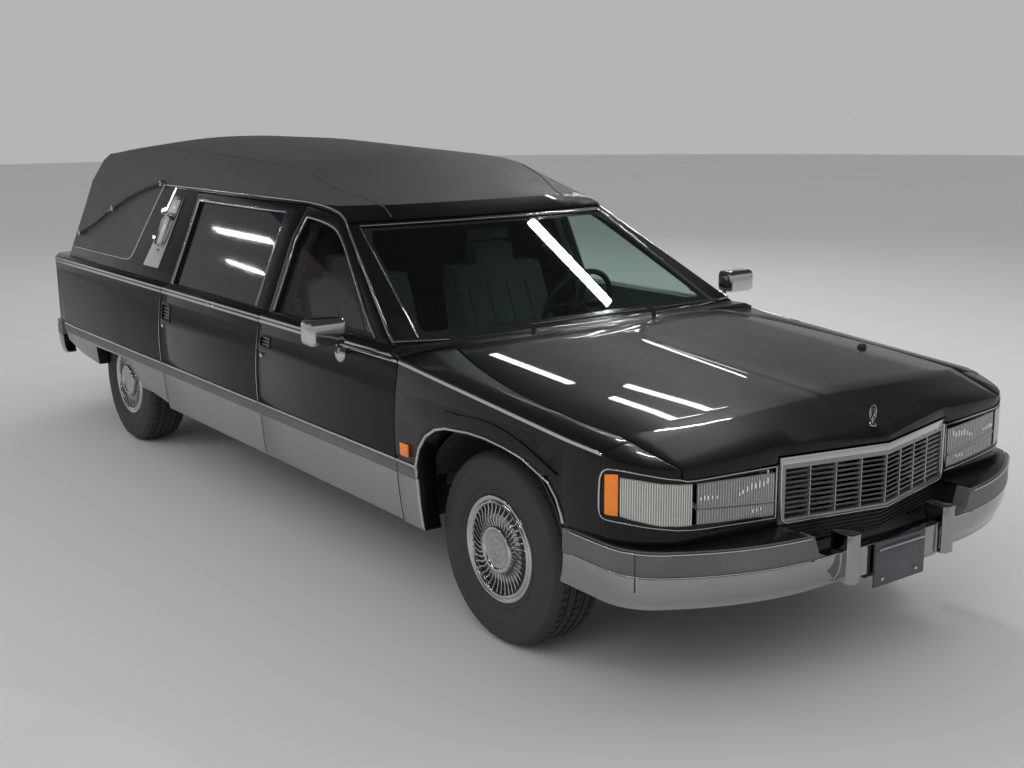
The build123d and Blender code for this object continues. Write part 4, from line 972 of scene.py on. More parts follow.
class HEARSE_OT_glass(bpy.types.Operator):
    """Windscreen, door glass and loading glass"""

    bl_idname = "hearse.glass"
    bl_label = "Glass"

    def execute(self, context):
        screen = take("windscreen_glass", "windscreen")
        half_low, half_top, low, top = 0.8, 0.672, 1.03, 1.42
        lean = (half_low - half_top) / (top - low)
        edges = [
            (Vector((0, 0, low + 0.026)), Vector((0, 0, -1))),
            (Vector((0, 0, top - 0.016)), Vector((0, 0, 1))),
        ]
        for side in (RIGHT, LEFT):
            edges.append((Vector((0, side * (half_low - 0.018), low)), Vector((0, side, lean))))
            edges.append((Vector((0, side * (half_low - 0.046), low + 0.034)), Vector((0, side, -1.0))))
            edges.append((Vector((0, side * (half_top - 0.036), top - 0.024)), Vector((0, side, 1.0))))
        for point, normal in edges:
            cut(screen, point, normal)
        paint(
            screen, ("Windscreen glass", "Glass border"),
            lambda middle, normal: int(any((middle - point).dot(outward) > 0 for point, outward in edges)),
        )
        settle(screen, "body", "clear_glass", ("windscreen",), angle=50)
        for side_name, _ in SIDES:
            for stem, material, slot in (
                ("front", "Grey glass", "clear_glass"), ("rear", "Dark glass", "dark_glass"),
            ):
                dressed(
                    f"{stem}_glass_{side_name}", f"glass_{stem}_{side_name}", (material,),
                    f"door_{stem}_{side_name}", slot, angle=4,
                )
        dressed("loading_door_glass", "loading_glass", ("Dark glass",), "loading_door", "dark_glass", angle=4)
        return {"FINISHED"}


TYRE_PROFILE = (
    (0.191, 0.087), (0.2, 0.097), (0.212, 0.103), (0.219, 0.1045), (0.222, 0.1025), (0.232, 0.1085),
    (0.252, 0.1145), (0.272, 0.1165), (0.28, 0.1172), (0.283, 0.116), (0.29, 0.1168), (0.31, 0.114),
    (0.328, 0.109), (0.331, 0.1102), (0.337, 0.109), (0.346, 0.101), (0.3535, 0.09), (0.358, 0.08),
    (0.3605, 0.07), (0.3615, 0.056), (0.3545, 0.055), (0.3545, 0.049), (0.362, 0.048), (0.363, 0.024),
    (0.355, 0.023), (0.355, 0.017), (0.363, 0.016), (0.363, 0.0),
)


class HEARSE_OT_tyres(bpy.types.Operator):
    """Four tyres with grooved tread and ringed sidewalls"""

    bl_idname = "hearse.tyres"
    bl_label = "Tyres"

    def execute(self, context):
        steps = context.scene.hearse_sizes.tread_steps
        profile = TYRE_PROFILE + tuple((radius, -out) for radius, out in reversed(TYRE_PROFILE[:-1]))
        first = turned("tyre_ring", [*profile, profile[0]], (0, 0, 0), steps)

        def sipe(middle, normal):
            radius = math.hypot(middle.x, middle.z)
            if radius < 0.3585:
                return False
            step = round((math.atan2(middle.z, middle.x) / math.tau) * steps - 0.5)
            wide = abs(middle.y) > 0.028
            return step % 2 == (0 if wide else 1) and abs(abs(middle.y) - 0.036) > 0.0001

        select_faces(first, sipe)
        bpy.ops.mesh.inset(thickness=0.0035, depth=-0.006, use_individual=True)
        calm()
        paint(first, ("Tyre rubber",))
        for axle, x in (("front", FRONT_AXLE_X), ("rear", REAR_AXLE_X)):
            for side_name, side in SIDES:
                name = f"road_tyre_{axle}_{side_name}"
                tyre = moved(first, name, Matrix.Translation((x, side * WHEEL_HALF, WHEEL_Z)))
                settle(tyre, f"wheel_{axle}_{side_name}", "tyre_rubber", (f"tyre_{axle}_{side_name}",), angle=38)
        bpy.data.objects.remove(first)
        return {"FINISHED"}


# Turned parts of a wheel and its cover: profile of (radius, outward), steps round, finishes, and the radius
# inside which the second finish shows
WHEEL_PARTS = (
    (
        "rim",
        ((0.0285, -0.07), (0.072, -0.07), (0.085, -0.044), (0.166, -0.032), (0.166, -0.082), (0.189, -0.093),
         (0.189, -0.086), (0.178, -0.074), (0.176, 0.072), (0.189, 0.084), (0.189, 0.094), (0.168, 0.078),
         (0.16, 0.052), (0.085, 0.058), (0.03, 0.064), (0.0285, 0.064), (0.0285, -0.07)),
        72, ("Wheel shadow",), 0.0,
    ),
    (
        "ring",
        ((0.189, 0.09), (0.199, 0.091), (0.2025, 0.094), (0.2025, 0.098), (0.2, 0.103), (0.195, 0.1055),
         (0.19, 0.1045), (0.187, 0.101), (0.1845, 0.1005), (0.182, 0.1035), (0.177, 0.106),
         (0.172, 0.1045), (0.169, 0.1), (0.166, 0.094), (0.164, 0.082), (0.164, 0.078), (0.17, 0.078),
         (0.186, 0.086), (0.189, 0.09)),
        96, ("Bright chrome",), 0.0,
    ),
    (
        "dish",
        ((0.0, 0.092), (0.086, 0.092), (0.094, 0.095), (0.112, 0.094), (0.128, 0.09), (0.14, 0.08),
         (0.15, 0.073), (0.165, 0.079), (0.165, 0.074), (0.15, 0.066), (0.132, 0.078), (0.112, 0.088),
         (0.0, 0.086)),
        80, ("Wheel shadow", "Cover silver"), 0.128,
    ),
    (
        "cap",
        ((0.0, 0.1085), (0.02, 0.1085), (0.0215, 0.11), (0.024, 0.11), (0.0255, 0.1085), (0.044, 0.108),
         (0.0455, 0.1095), (0.048, 0.1095), (0.0495, 0.1078), (0.068, 0.107), (0.07, 0.1085),
         (0.073, 0.112), (0.078, 0.115), (0.083, 0.1145), (0.087, 0.1115), (0.0895, 0.105),
         (0.09, 0.096), (0.086, 0.09), (0.0, 0.09)),
        72, ("Bright chrome", "Cover silver"), 0.069,
    ),
)
WIRE_LINE = (
    (0.086, -0.101, 0.0), (0.104, -0.103, 0.0045), (0.124, -0.102, 0.003), (0.142, -0.0985, -0.006),
    (0.156, -0.0965, -0.013), (0.168, -0.098, -0.015),
)


class HEARSE_OT_wheels(bpy.types.Operator):
    """Steel wheels behind bright covers with bent wires"""

    bl_idname = "hearse.wheels"
    bl_label = "Wheels"

    def execute(self, context):
        sizes = context.scene.hearse_sizes
        parts = []
        for name, profile, steps, materials, inner in WHEEL_PARTS:
            part = turned(name, profile, (0, 0, 0), steps)
            paint(part, materials, lambda middle, normal: int(math.hypot(middle.x, middle.z) < inner))
            parts.append(part)
        wire = bar("wire", WIRE_LINE, sizes.wire_radius * 1.35, smooth=True, resolution=1)
        count = sizes.wire_count
        wires = [moved(wire, "wire", Matrix.Rotation(math.tau * turn / count, 4, "Y")) for turn in range(count)]
        bpy.data.objects.remove(wire)
        web = join("web", wires)
        paint(web, ("Bright chrome",))
        cover = join("wheel_right", [*parts, web])
        left = mirrored(cover, "wheel_left")
        for axle, x in (("front", FRONT_AXLE_X), ("rear", REAR_AXLE_X)):
            for side_name, side in SIDES:
                source = cover if side == RIGHT else left
                node = f"wheel_{axle}_{side_name}"
                wheel = moved(source, f"wire_{node}", Matrix.Translation((x, side * WHEEL_HALF, WHEEL_Z)))
                settle(wheel, node, "bright_chrome", (node,), angle=40)
        bpy.data.objects.remove(cover)
        bpy.data.objects.remove(left)
        return {"FINISHED"}


# Headlamps, by stations round the nose: low and top edge of each part
AMBER_ROWS = (
    (2.669, 0.693, 0.822), (2.69, 0.693, 0.826), (2.716, 0.695, 0.829),
)
OUTER_LENS_ROWS = (
    (2.722, 0.696, 0.821), (2.75, 0.69, 0.82), (2.778, 0.685, 0.818), (2.8, 0.679, 0.814), (0.87, 0.673, 0.809),
    (0.822, 0.67, 0.805), (0.781, 0.668, 0.802),
)
INNER_LENS_ROWS = (
    (0.764, 0.669, 0.801), (0.725, 0.666, 0.8), (0.686, 0.663, 0.799), (0.635, 0.66, 0.797),
    (0.583, 0.656, 0.795), (0.515, 0.65, 0.791), (0.45, 0.644, 0.787),
)
SKIRT_ROWS = (
    (2.664, 0.637, 0.697), (2.72, 0.637, 0.698), (2.778, 0.637, 0.688), (2.8, 0.637, 0.682),
    (0.87, 0.637, 0.676), (0.822, 0.637, 0.673), (0.764, 0.637, 0.671), (0.686, 0.637, 0.665),
    (0.583, 0.637, 0.658), (0.5, 0.637, 0.65), (0.44, 0.637, 0.645),
)
BEZEL = (
    (0.44, 0.805), (0.54, 0.809), (0.64, 0.811), (0.706, 0.811), (0.772, 0.811), (0.8, 0.813), (0.822, 0.82),
    (0.851, 0.824), (0.883, 0.831), (2.778, 0.838), (2.737, 0.843), (2.688, 0.842), (2.672, 0.838),
    (2.657, 0.826), (2.648, 0.805), (2.644, 0.754), (2.644, 0.708), (2.65, 0.688), (2.66, 0.679),
    (2.675, 0.676), (2.707, 0.676), (2.753, 0.674), (2.791, 0.669), (0.868, 0.664), (0.827, 0.658),
    (0.777, 0.653), (0.701, 0.649), (0.621, 0.645), (0.536, 0.64), (0.44, 0.633),
)
# Painted highlights on the inner lenses, drawn as short bright bars: station, foot and head
GLINTS = (
    (0.752, 0.746, 0.757), (0.738, 0.746, 0.76), (0.724, 0.745, 0.757), (0.708, 0.744, 0.754),
    (0.69, 0.744, 0.752), (0.602, 0.738, 0.748), (0.588, 0.741, 0.754), (0.57, 0.746, 0.762),
    (0.552, 0.748, 0.77), (0.535, 0.75, 0.768), (0.518, 0.75, 0.772), (0.5, 0.751, 0.768),
    (0.482, 0.758, 0.776), (0.545, 0.672, 0.682), (0.528, 0.673, 0.684), (0.51, 0.674, 0.683),
)
# Frame of a tail lamp, as (half width, height)
TAIL_FRAME = (
    (0.742, 0.664), (0.742, 0.981), (0.8, 0.981), (0.85, 0.981), (0.901, 0.981), (0.901, 0.82), (0.901, 0.664),
    (0.85, 0.664), (0.8, 0.664),
)
GRILLE_TIP = 2.989
GRILLE_HALF = 0.426
GRILLE_FALL = 0.092
GRILLE_LOW = 0.606
GRILLE_TOP = 0.806
BUMPER_STATIONS = (
    0.425, 0.45, 0.52, 0.6, 0.68, 0.74, 0.8, 0.85, 0.9, 0.935, 2.8, 2.76, 2.72, 2.68, 2.6, 2.52,
)


# The bumpers' upright guards stand further out than this, and nearer to the middle
GUARD_X = 3.0395
GUARD_HALF = 0.3
# How the bumpers roll under: what lies below each height shrinks by a further share
BUMPER_ROLL = ((0.483, 0.999), (0.457, 0.998), (0.437, 0.997), (0.421, 0.996))


def grille_place(y, z, back):
    """A place on the V of the grille, set back from its front."""
    return (GRILLE_TIP - back - GRILLE_FALL * abs(y) / GRILLE_HALF, y, z)


def flute_places(rows, side, count, proud):
    """Three points up the skin at each of many even steps along some rows."""
    ladders = [
        [Vector(nose_point(station, z, side, proud)) for z in (low + 0.004, (low + top) / 2, top - 0.004)]
        for station, low, top in rows
    ]
    reaches = [0.0]
    for here, there in zip(ladders, ladders[1:]):
        reaches.append(reaches[-1] + (there[1] - here[1]).length)
    places = []
    for flute in range(count):
        reach = reaches[-1] * (flute + 0.5) / count
        index = max(k for k in range(len(rows) - 1) if reaches[k] <= reach)
        share = (reach - reaches[index]) / (reaches[index + 1] - reaches[index])
        places.append([tuple(a.lerp(b, share)) for a, b in zip(ladders[index], ladders[index + 1])])
    return places


class HEARSE_OT_grille(bpy.types.Operator):
    """V grille with fine bright edges on its bars, and a dark apron"""

    bl_idname = "hearse.grille"
    bl_label = "Grille"

    def execute(self, context):
        grille = take("grille_shell", "grille")
        for height in (GRILLE_LOW, GRILLE_TOP):
            cut(grille, (0, 0, height), (0, 0, 1))
        paint(
            grille, ("Jamb black", "Grille grey", "Bright chrome"),
            lambda middle, normal: (middle.z >= GRILLE_LOW) + (middle.z >= GRILLE_TOP),
        )
        settle(grille, "body", "bright_chrome", ("grille",), edge=0.0012)
        lines = []
        for level in range(1, 12):
            z = 0.622 + 0.0168 * level - (0.004 if level > 10 else 0.0)
            ends = [grille_place(y, z, 0.0062) for y in (-0.418, 0.0, 0.418)]
            lines.append(bar("line", ends, 0.0021, resolution=1))
        for upright in range(-3, 4):
            y = upright * 0.101
            ends = [grille_place(y, z, 0.0072) for z in (0.613, GRILLE_TOP)]
            lines.append(bar("line", ends, 0.0024, resolution=1))
        chromed("grille_lines", lines)
        outline = [
            (-0.421, 0.812), (-0.421, 0.634), (-0.417, 0.622), (-0.409, 0.614), (-0.396, 0.61), (-0.2, 0.61),
        ]
        outline += [(0.0, 0.61)] + [(-y, z) for y, z in reversed(outline)]
        rim = bar("grille_rim", [grille_place(y, z, -0.001) for y, z in outline], 0.0042)
        chromed("grille_outline", [rim])
        return {"FINISHED"}


class HEARSE_OT_lamps(bpy.types.Operator):
    """Headlamps with fluted lenses, bezels, ambers and tail lamps"""

    bl_idname = "hearse.lamps"
    bl_label = "Lamps"

    def execute(self, context):
        flutes = context.scene.hearse_sizes.lamp_flutes
        dressed("lamp_reflectors", "lamp_bowls", ("Lamp silver",), "body", "lamp_silver")
        lenses, dark_reflection_sheets, ambers, skirts, bezels, bars, glints, pale, dusky = ([] for _ in range(9))
        for _, side in SIDES:
            # Lens sheets in place of clear glass, toned with painted reflection: pale on the outer lamps, darker on
            # the inner
            lenses.append(nose_strip("lens", OUTER_LENS_ROWS, side, 0.0008))
            dark_reflection_sheets.append(nose_strip("lens", INNER_LENS_ROWS, side, 0.0008))
            ambers.append(nose_strip("amber", AMBER_ROWS, side, 0.0008, rise=0.004))
            skirts.append(nose_strip("skirt", SKIRT_ROWS, side, 0.0002, rise=0.0018, levels=2))
            bezels.append(bar("bezel", [nose_point(s, z, side, 0.0015) for s, z in BEZEL], 0.0038, closed=True))
            for rows, target in ((OUTER_LENS_ROWS, pale), (INNER_LENS_ROWS, dusky)):
                for places in flute_places(rows, side, flutes // 2, 0.004):
                    target.append(bar("flute", places, 0.0015, resolution=0))
            level = [(s, 0.7245 - 0.1 * (0.764 - s)) for s in (0.762, 0.7, 0.62, 0.53, 0.452)]
            bars.append(bar("bar", [nose_point(s, z, side, -0.002) for s, z in level], 0.0105))
            # Painted highlights: short bright bars on the inner lenses
            for station, low, high in GLINTS:
                ends = [nose_point(station, z, side, 0.0052) for z in (low, high)]
                glints.append(bar("glint", ends, 0.003, resolution=0))
        side_ambers = take("marker", "lamp_ambers")
        drop_faces(side_ambers, lambda middle, normal: middle.x > 2.6)
        # The opaque lens sheets with painted reflection stand in for the clear covers, which are hidden
        finished("fluted_lenses", lenses, "Fluted lens", "body", "lamp_lens", replaced=("lamp_covers",), angle=40)
        finished("smoky_lenses", dark_reflection_sheets, "Dark reflection lens", "body", "lamp_lens", angle=40)
        finished("outer_flutes", pale, "Pale flutes", "body", "lamp_lens", angle=50)
        finished("inner_flutes", dusky, "Dusky flutes", "body", "lamp_lens", angle=50)
        finished("lens_bars", bars, "Lens bar", "body", "lamp_lens", angle=50)
        finished("lens_glints", glints, "Lens glint", "body", "lamp_silver", angle=50)
        finished(
            "amber_lenses", [side_ambers, *ambers], "Amber lens", "body", "amber_lens", replaced=("lamp_ambers",),
            edge=0.0015,
        )
        finished("lamp_skirts", skirts, "Gloss black paint", "body", "black_paint", angle=40)
        chromed("lamp_bezels", bezels)
        dressed("tail_lenses", "tail_lamps", ("Red lens",), "body", "red_lens", edge=0.004)
        frames = []
        for side_name, side in SIDES:
            nodes = ("tail_lamps", f"quarter_panel_{side_name}")
            around = [end_point(y, z, side, nodes, 0.001, -1) for y, z in TAIL_FRAME]
            frames.append(bar("frame", around, 0.0042, closed=True))
            for z in (0.745, 0.823, 0.901):
                line = [end_point(y, z, side, nodes, 0.0005, -1) for y in (0.748, 0.8, 0.85, 0.896)]
                frames.append(bar("frame", line, 0.0018, resolution=1))
        chromed("tail_lamp_frames", frames)
        return {"FINISHED"}


class HEARSE_OT_bumpers(bpy.types.Operator):
    """Bumpers rolled under, with hatched bands, beads, joints and the blank plate"""

    bl_idname = "hearse.bumpers"
    bl_label = "Bumpers"

    def execute(self, context):
        bumpers = take("bright_bumpers", "bumpers")
        for height in (0.42, 0.436, 0.456, 0.482):
            cut(bumpers, (0, 0, height), (0, 0, 1))
        for height, share in BUMPER_ROLL:
            pick(bumpers)
            bpy.ops.object.mode_set(mode="EDIT")
            bpy.ops.mesh.select_mode(type="VERT")
            bpy.ops.mesh.select_all(action="DESELECT")
            bpy.ops.object.mode_set(mode="OBJECT")
            for vertex in bumpers.data.vertices:
                guard = abs(vertex.co.y) < GUARD_HALF and abs(vertex.co.x) > GUARD_X
                vertex.select = vertex.co.z < height and not guard
            bpy.ops.object.mode_set(mode="EDIT")
            bpy.ops.transform.resize(value=(share, share, 1.0), center_override=(0, 0, 0))
            calm()
        paint(bumpers, ("Bumper chrome",))
        settle(bumpers, "body", "bright_chrome", ("bumpers",), edge=0.005, segments=3, angle=44)
        dressed("bumper_grey_bands", "bumper_bands", ("Hatched band",), "body", "grey_trim", edge=0.003)
        beads, joints = [], []
        nodes = ("bumpers", "bumper_bands")
        for end in (1, -1):
            for _, side in SIDES:
                stations = BUMPER_STATIONS if end > 0 else (0.0, 0.2, *BUMPER_STATIONS[:-2])
                for z, radius in ((0.5965, 0.0045), (0.5215, 0.0028)):
                    points = [end_point(s, z, side, nodes, 0.0, end) for s in stations]
                    beads.append(bar("bead", points, radius))
                seam = [end_point(2.8, z, side, nodes, -0.0006, end) for z in (0.47, 0.5, 0.54, 0.594)]
                joints.append(bar("joint", seam, 0.0022, resolution=1))
        dip = [end_point(half, 0.521, RIGHT, ("bumpers",)) for half in (0.405, 0.36, 0.3, 0.284)]
        beads.append(bar("bead", dip, 0.0035))
        beads.append(bar("bead", [(x, -y, z) for x, y, z in dip], 0.0035))
        chromed("bumper_beads", beads)
        finished("bumper_joints", joints, "Jamb black", "body", "chassis_black", angle=50)
        shields = [
            slab("shield", (2.79, side * 0.375, 0.47), (2.868, side * 0.62, 0.612), edge=0.004)
            for _, side in SIDES
        ]
        finished("bumper_shields", shields, "Jamb black", "body", "chassis_black")
        dressed("number_plate_blank", "front_plate", ("Plate blank",), "body", "dark_plastic", edge=0.0015)
        edge = ((3.06, -0.118, 0.497), (3.062, -0.11, 0.5), (3.062, 0.11, 0.5), (3.06, 0.118, 0.497))
        finished("plate_lip", [bar("lip", edge, 0.0055)], "Cover silver", "body", "dark_plastic", angle=50)
        screws = [dome("screw", (3.0565, y, 0.392), 0.0075, 0.004, (1, 0, 0)) for y in (-0.088, 0.088)]
        chromed("plate_screws", screws, angle=32)
        return {"FINISHED"}


ORNAMENT_X = 2.915
ORNAMENT_Z = 0.9185


class HEARSE_OT_ornaments(bpy.types.Operator):
    """Plain oval hood ornament, antenna foot, loading door trim and blank rear plate"""

    bl_idname = "hearse.ornaments"
    bl_label = "Ornament and rear trim"

    def execute(self, context):
        x, z = ORNAMENT_X, ORNAMENT_Z
        parts = []
        for share, thick in ((1.0, 0.0021), (0.52, 0.0013)):
            oval = [(x, y, height) for y, height in round_about((0, z), 0.0165 * share, 0.027 * share, 32)]
            parts.append(bar("ring", oval, thick, closed=True))
        parts.append(bar("stem", [(x, 0, 0.878), (x, 0, 0.905)], 0.0024))
        parts.append(dome("foot", (x, 0, 0.8775), 0.0135, 0.0075, (0.15, 0, 1)))
        chromed("hood_ornament", parts, "hood")
        place = probe((2.236, 0.777, BESIDE), (0, 0, -1), ("hood",))
        nozzle = dome("nozzle", place, 0.019, 0.016, (0, 0, 1))
        finished("antenna_foot", [nozzle], "Dark plastic", "hood", "dark_plastic")

        def on_door(y, z, proud):
            """A place on the loading door's outer skin."""
            return (probe((-BEYOND, y, z), (1, 0, 0), ("loading_door",)).x - proud, y, z)

        # Loading door: grip, lock, two mouldings and a blank plate under the glass
        trims = []
        for z, thick in ((0.64, 0.006), (0.985, 0.005)):
            trims.append(bar("base", [on_door(y, z, 0.001) for y in (-0.56, -0.28, 0.0, 0.28, 0.56)], thick))
        grip = ((-0.495, -0.002), (-0.49, 0.024), (-0.48, 0.03), (-0.4, 0.03), (-0.39, 0.024), (-0.385, -0.002))
        trims.append(bar("grip", [on_door(y, 0.905, proud) for y, proud in grip], 0.0075))
        trims.append(dome("lock", on_door(-0.44, 0.858, 0.0), 0.014, 0.006, (-1, 0, 0)))
        holder = [on_door(y, z, 0.002) for y, z in box_about(0.178, 0.712, 0.886)]
        trims.append(bar("holder", holder, 0.005, closed=True))
        chromed("loading_door_trim", trims, "loading_door")
        corners = [on_door(y, z, -0.001) for y, z in box_about(0.166, 0.722, 0.876)]
        blank = plate("blank", corners, (-0.004, 0, 0))
        finished("rear_plate_blank", [blank], "Plate blank", "loading_door", "dark_plastic", edge=0.001)
        return {"FINISHED"}


# Corners of the bright panel behind each carriage lamp, on the right side
CARRIAGE_PANEL = (
    (-1.232, 0.742, 1.457), (-1.092, 0.742, 1.457), (-1.145, 0.895, 1.08), (-1.362, 0.895, 1.08),
)

# Outline of a lamp on it, as shares across and down
LAMP_OUTLINE = (
    (0.2, 0.335), (0.38, 0.295), (0.64, 0.295), (0.84, 0.335), (0.8, 0.48), (0.76, 0.66), (0.66, 0.695),
    (0.46, 0.695), (0.37, 0.66), (0.28, 0.48),
)
LANDAU_KNOBS = ((-1.441, 1.517), (-2.055, 1.345), (-2.482, 1.174))
# Line of a mirror's stalk from its head to the door
MIRROR_STALK = (
    (1.17, 1.085, 1.046), (1.16, 1.066, 1.022), (1.118, 1.04, 1.004), (1.05, 1.008, 0.984),
    (1.01, 0.992, 0.962), (1.002, 0.972, 0.95),
)


class HEARSE_OT_fittings(bpy.types.Operator):
    """Landau bars, carriage lamps, mirrors, locks and wipers"""

    bl_idname = "hearse.fittings"
    bl_label = "Fittings"

    def execute(self, context):
        def knob_or_bar(middle, normal):
            """Bright near the bars' three knobs, dark along the rest."""
            return int(all(math.hypot(middle.x - x, middle.z - z) >= 0.024 for x, z in LANDAU_KNOBS))

        dressed(
            "landau_irons", "landau_bars", ("Bright chrome", "Jamb black"), "body", "bright_chrome", knob_or_bar,
            angle=45,
        )
        panels, lanterns = [], []
        for side_name, side in SIDES:
            corners = [Vector((x, side * y, z)) for x, y, z in CARRIAGE_PANEL]
            out = Vector((0, side * 0.93, 0.37))
            panels.append(plate("panel", corners, out * 0.008, edge=0.002))

            def within(across, down, lift, corners=corners, out=out):
                top = corners[0].lerp(corners[1], across)
                low = corners[3].lerp(corners[2], across)
                return top.lerp(low, down) + out * lift

            panels.append(bar("ring", [within(a, d, 0.024) for a, d in LAMP_OUTLINE], 0.0065, closed=True))
            for across, down in ((0.2, 0.335), (0.84, 0.335), (0.37, 0.66), (0.76, 0.66)):
                panels.append(bar("stay", [within(across, down, lift) for lift in (0.004, 0.026)], 0.0055))
            panels.append(bar("hood", [within(a, 0.275, 0.018) for a in (0.18, 0.5, 0.86)], 0.008))
            panels.append(dome("drop", within(0.58, 0.77, 0.007), 0.011, 0.012, out))
            lanterns.append(plate("lens", [within(a, d, 0.006) for a, d in LAMP_OUTLINE], out * 0.018, edge=0.002))
            pane = [within(a, d, 0.006) for a, d in ((0.16, 0.05), (0.84, 0.05), (0.84, 0.235), (0.16, 0.235))]
            lanterns.append(plate("pane", pane, out * 0.006, edge=0.0015))
            door, rear_door = f"door_front_{side_name}", f"door_rear_{side_name}"
            # Mirror: a rounded cup on a stalk with a round foot
            head = slab("head", (1.118, side * 1.05, 1.03), (1.218, side * 1.214, 1.134), edge=0.024, segments=5)
            if select_faces(head, lambda middle, normal: normal.x < -0.95):
                bpy.ops.mesh.inset(thickness=0.009, depth=0.0)
                bpy.ops.mesh.inset(thickness=0.0015, depth=-0.006)
            calm()
            foot = touch(1.002, 0.948, side, (door,))
            stalk = bar("stalk", [(x, side * y, z) for x, y, z in MIRROR_STALK], 0.0095, smooth=True, resolution=3)
            base = dome("base", foot, 0.037, 0.02, (0, side, 0))
            mirror = join(f"side_mirror_{side_name}", [head, stalk, base])
            paint(
                mirror, ("Bright chrome", "Mirror silver"),
                lambda middle, normal: int(normal.x < -0.95 and 1.118 < middle.x < 1.127 and abs(middle.y) > 1.05),
            )
            settle(mirror, door, "bright_chrome", (f"mirror_{side_name}",), angle=42)
            # Locks, pull slats and a small ring low on the front glass
            for node, lock, pull in (
                (door, (0.274, 0.834), ((0.272, 0.352), (0.884, 0.899, 0.914))),
                (rear_door, (-0.911, 0.812), ((-0.908, -0.818), (0.854, 0.871, 0.888, 0.905))),
            ):
                spot = touch(*lock, side, (node,))
                chromed(f"door_lock_{node}", [dome("lock", spot, 0.0125, 0.006, (0, side, 0))], node, angle=32)
                slats = [bar("slat", [touch(x, z, side, (node,), 0.001) for x in pull[0]], 0.0032) for z in pull[1]]
                finished(f"door_pull_{node}", slats, "Grille grey", node, "grey_trim", angle=50)
            oval = round_about((1.108, 1.066), 0.014, 0.02, 24)
            ring = [touch(x, z, side, (f"glass_front_{side_name}", door), 0.002) for x, z in oval]
            chromed(f"glass_ring_{side_name}", [bar("ring", ring, 0.0022, closed=True)], door)
        chromed("coach_lamps", panels, replaced=("carriage_lamps",), angle=42)
        finished("coach_lanterns", lanterns, "Lantern glass", "body", "lamp_lens", angle=42)
        dressed("wiper_arms", "wipers", ("Jamb black",), "body", "dark_plastic")
        return {"FINISHED"}


class HEARSE_OT_cabin(bpy.types.Operator):
    """Seats, dashboard, steering wheel, floor and load deck"""

    bl_idname = "hearse.cabin"
    bl_label = "Cabin"

    def execute(self, context):
        # Benches: padded forms with sewn channels laid on after the remesh
        for name, node in (("bench_base", "seat_cushions"), ("bench_backs", "seat_backs")):
            pad = take(name, node)
            modify(pad, "REMESH", mode="VOXEL", voxel_size=0.01)
            modify(pad, "SMOOTH", factor=0.6, iterations=10)
            skin = surface_of(pad.data)
            seams = []
            for y in (-0.56, -0.44, -0.32, -0.2, 0.2, 0.32, 0.44, 0.56):
                if node == "seat_cushions":
                    rays = [((x, y, 1.4), (0, 0, -1)) for x in (0.42, 0.52, 0.62, 0.72, 0.8, 0.85)]
                else:
                    rays = [((1.2, y, z), (-1, 0, 0)) for z in (0.76, 0.82, 0.88, 0.94, 1.0, 1.04)]
                points = [skin.ray_cast(Vector(start), Vector(heading))[0] for start, heading in rays]
                points = [tuple(point) for point in points if point is not None]
                if len(points) > 2:
                    seams.append(bar("seam", points, 0.003, resolution=1))
            finished(f"{name}_seams", seams, "Seat seam", "body", "seat_cloth", angle=60)
            paint(pad, ("Seat cloth",))
            settle(pad, "body", "seat_cloth", (node,), angle=60)
        for name, node, material, slot in (
            ("dashboard_moulding", "dashboard", "Dark plastic", "dark_plastic"),
            ("cabin_floor", "floor_pan", "Cabin carpet", "chassis_black"),
            ("casket_deck", "load_deck", "Deck wood", "deck_wood"),
            ("pillar_posts", "door_posts", "Jamb black", "chassis_black"),
        ):
            dressed(name, node, (material,), "body", slot, edge=0.004)
        dressed("steering_rim", "steering_wheel", ("Dark plastic",), "steering_wheel", "dark_plastic", angle=62)

        def on_dash(y, z, proud):
            """A place on the dashboard's face, from the cabin."""
            return (probe((0.4, y, z), (1, 0, 0), ("dashboard",)).x - proud, y, z)

        # Instruments, vents, glove box and centre stack on the dashboard
        panes, lines = [], []
        for low, high, bottom, top in ((0.215, 0.545, 0.925, 0.985), (-0.09, 0.09, 0.8, 0.88)):
            corners = [on_dash(y, z, 0.001) for y, z in ((low, bottom), (high, bottom), (high, top), (low, top))]
            panes.append(plate("pane", corners, (-0.003, 0, 0)))
            lines.append(bar("line", [(x - 0.004, y, z) for x, y, z in corners], 0.0022, closed=True, resolution=1))
        for middle in (-0.62, -0.06, 0.06, 0.66):
            for z in (0.925, 0.937, 0.949, 0.961):
                slot_ends = [on_dash(y, z, 0.002) for y in (middle - 0.05, middle + 0.05)]
                lines.append(bar("line", slot_ends, 0.002, resolution=1))
        glove = [on_dash(y, z, 0.0005) for y, z in ((-0.58, 0.8), (-0.2, 0.8), (-0.2, 0.89), (-0.58, 0.89))]
        lines.append(bar("line", glove, 0.0015, closed=True, resolution=1))
        finished("dash_panes", panes, "Glass border", "body", "dark_plastic", edge=0.0008)
        finished("dash_lines", lines, "Cover silver", "body", "dark_plastic", angle=50)
        # Rear-view mirror under the windscreen's top edge, and two sun visors
        screen_x = probe((BEYOND, 0.0, 1.385), (-1, 0, 0), ("windscreen",)).x
        head = slab("mirror", (screen_x - 0.1, -0.115, 1.322), (screen_x - 0.084, 0.115, 1.374), edge=0.006)
        bend = [(screen_x - back, 0, z) for back, z in ((0.01, 1.384), (0.04, 1.372), (0.088, 1.352))]
        finished("cabin_mirror", [head, bar("stay", bend, 0.005)], "Dark plastic", "body", "dark_plastic")
        visors = [
            slab("visor", (0.43, y - 0.2, 1.412), (0.585, y + 0.2, 1.426), edge=0.005) for y in (-0.3, 0.3)
        ]
        finished("sun_visors", visors, "Headliner", "body", "seat_cloth")
        return {"FINISHED"}


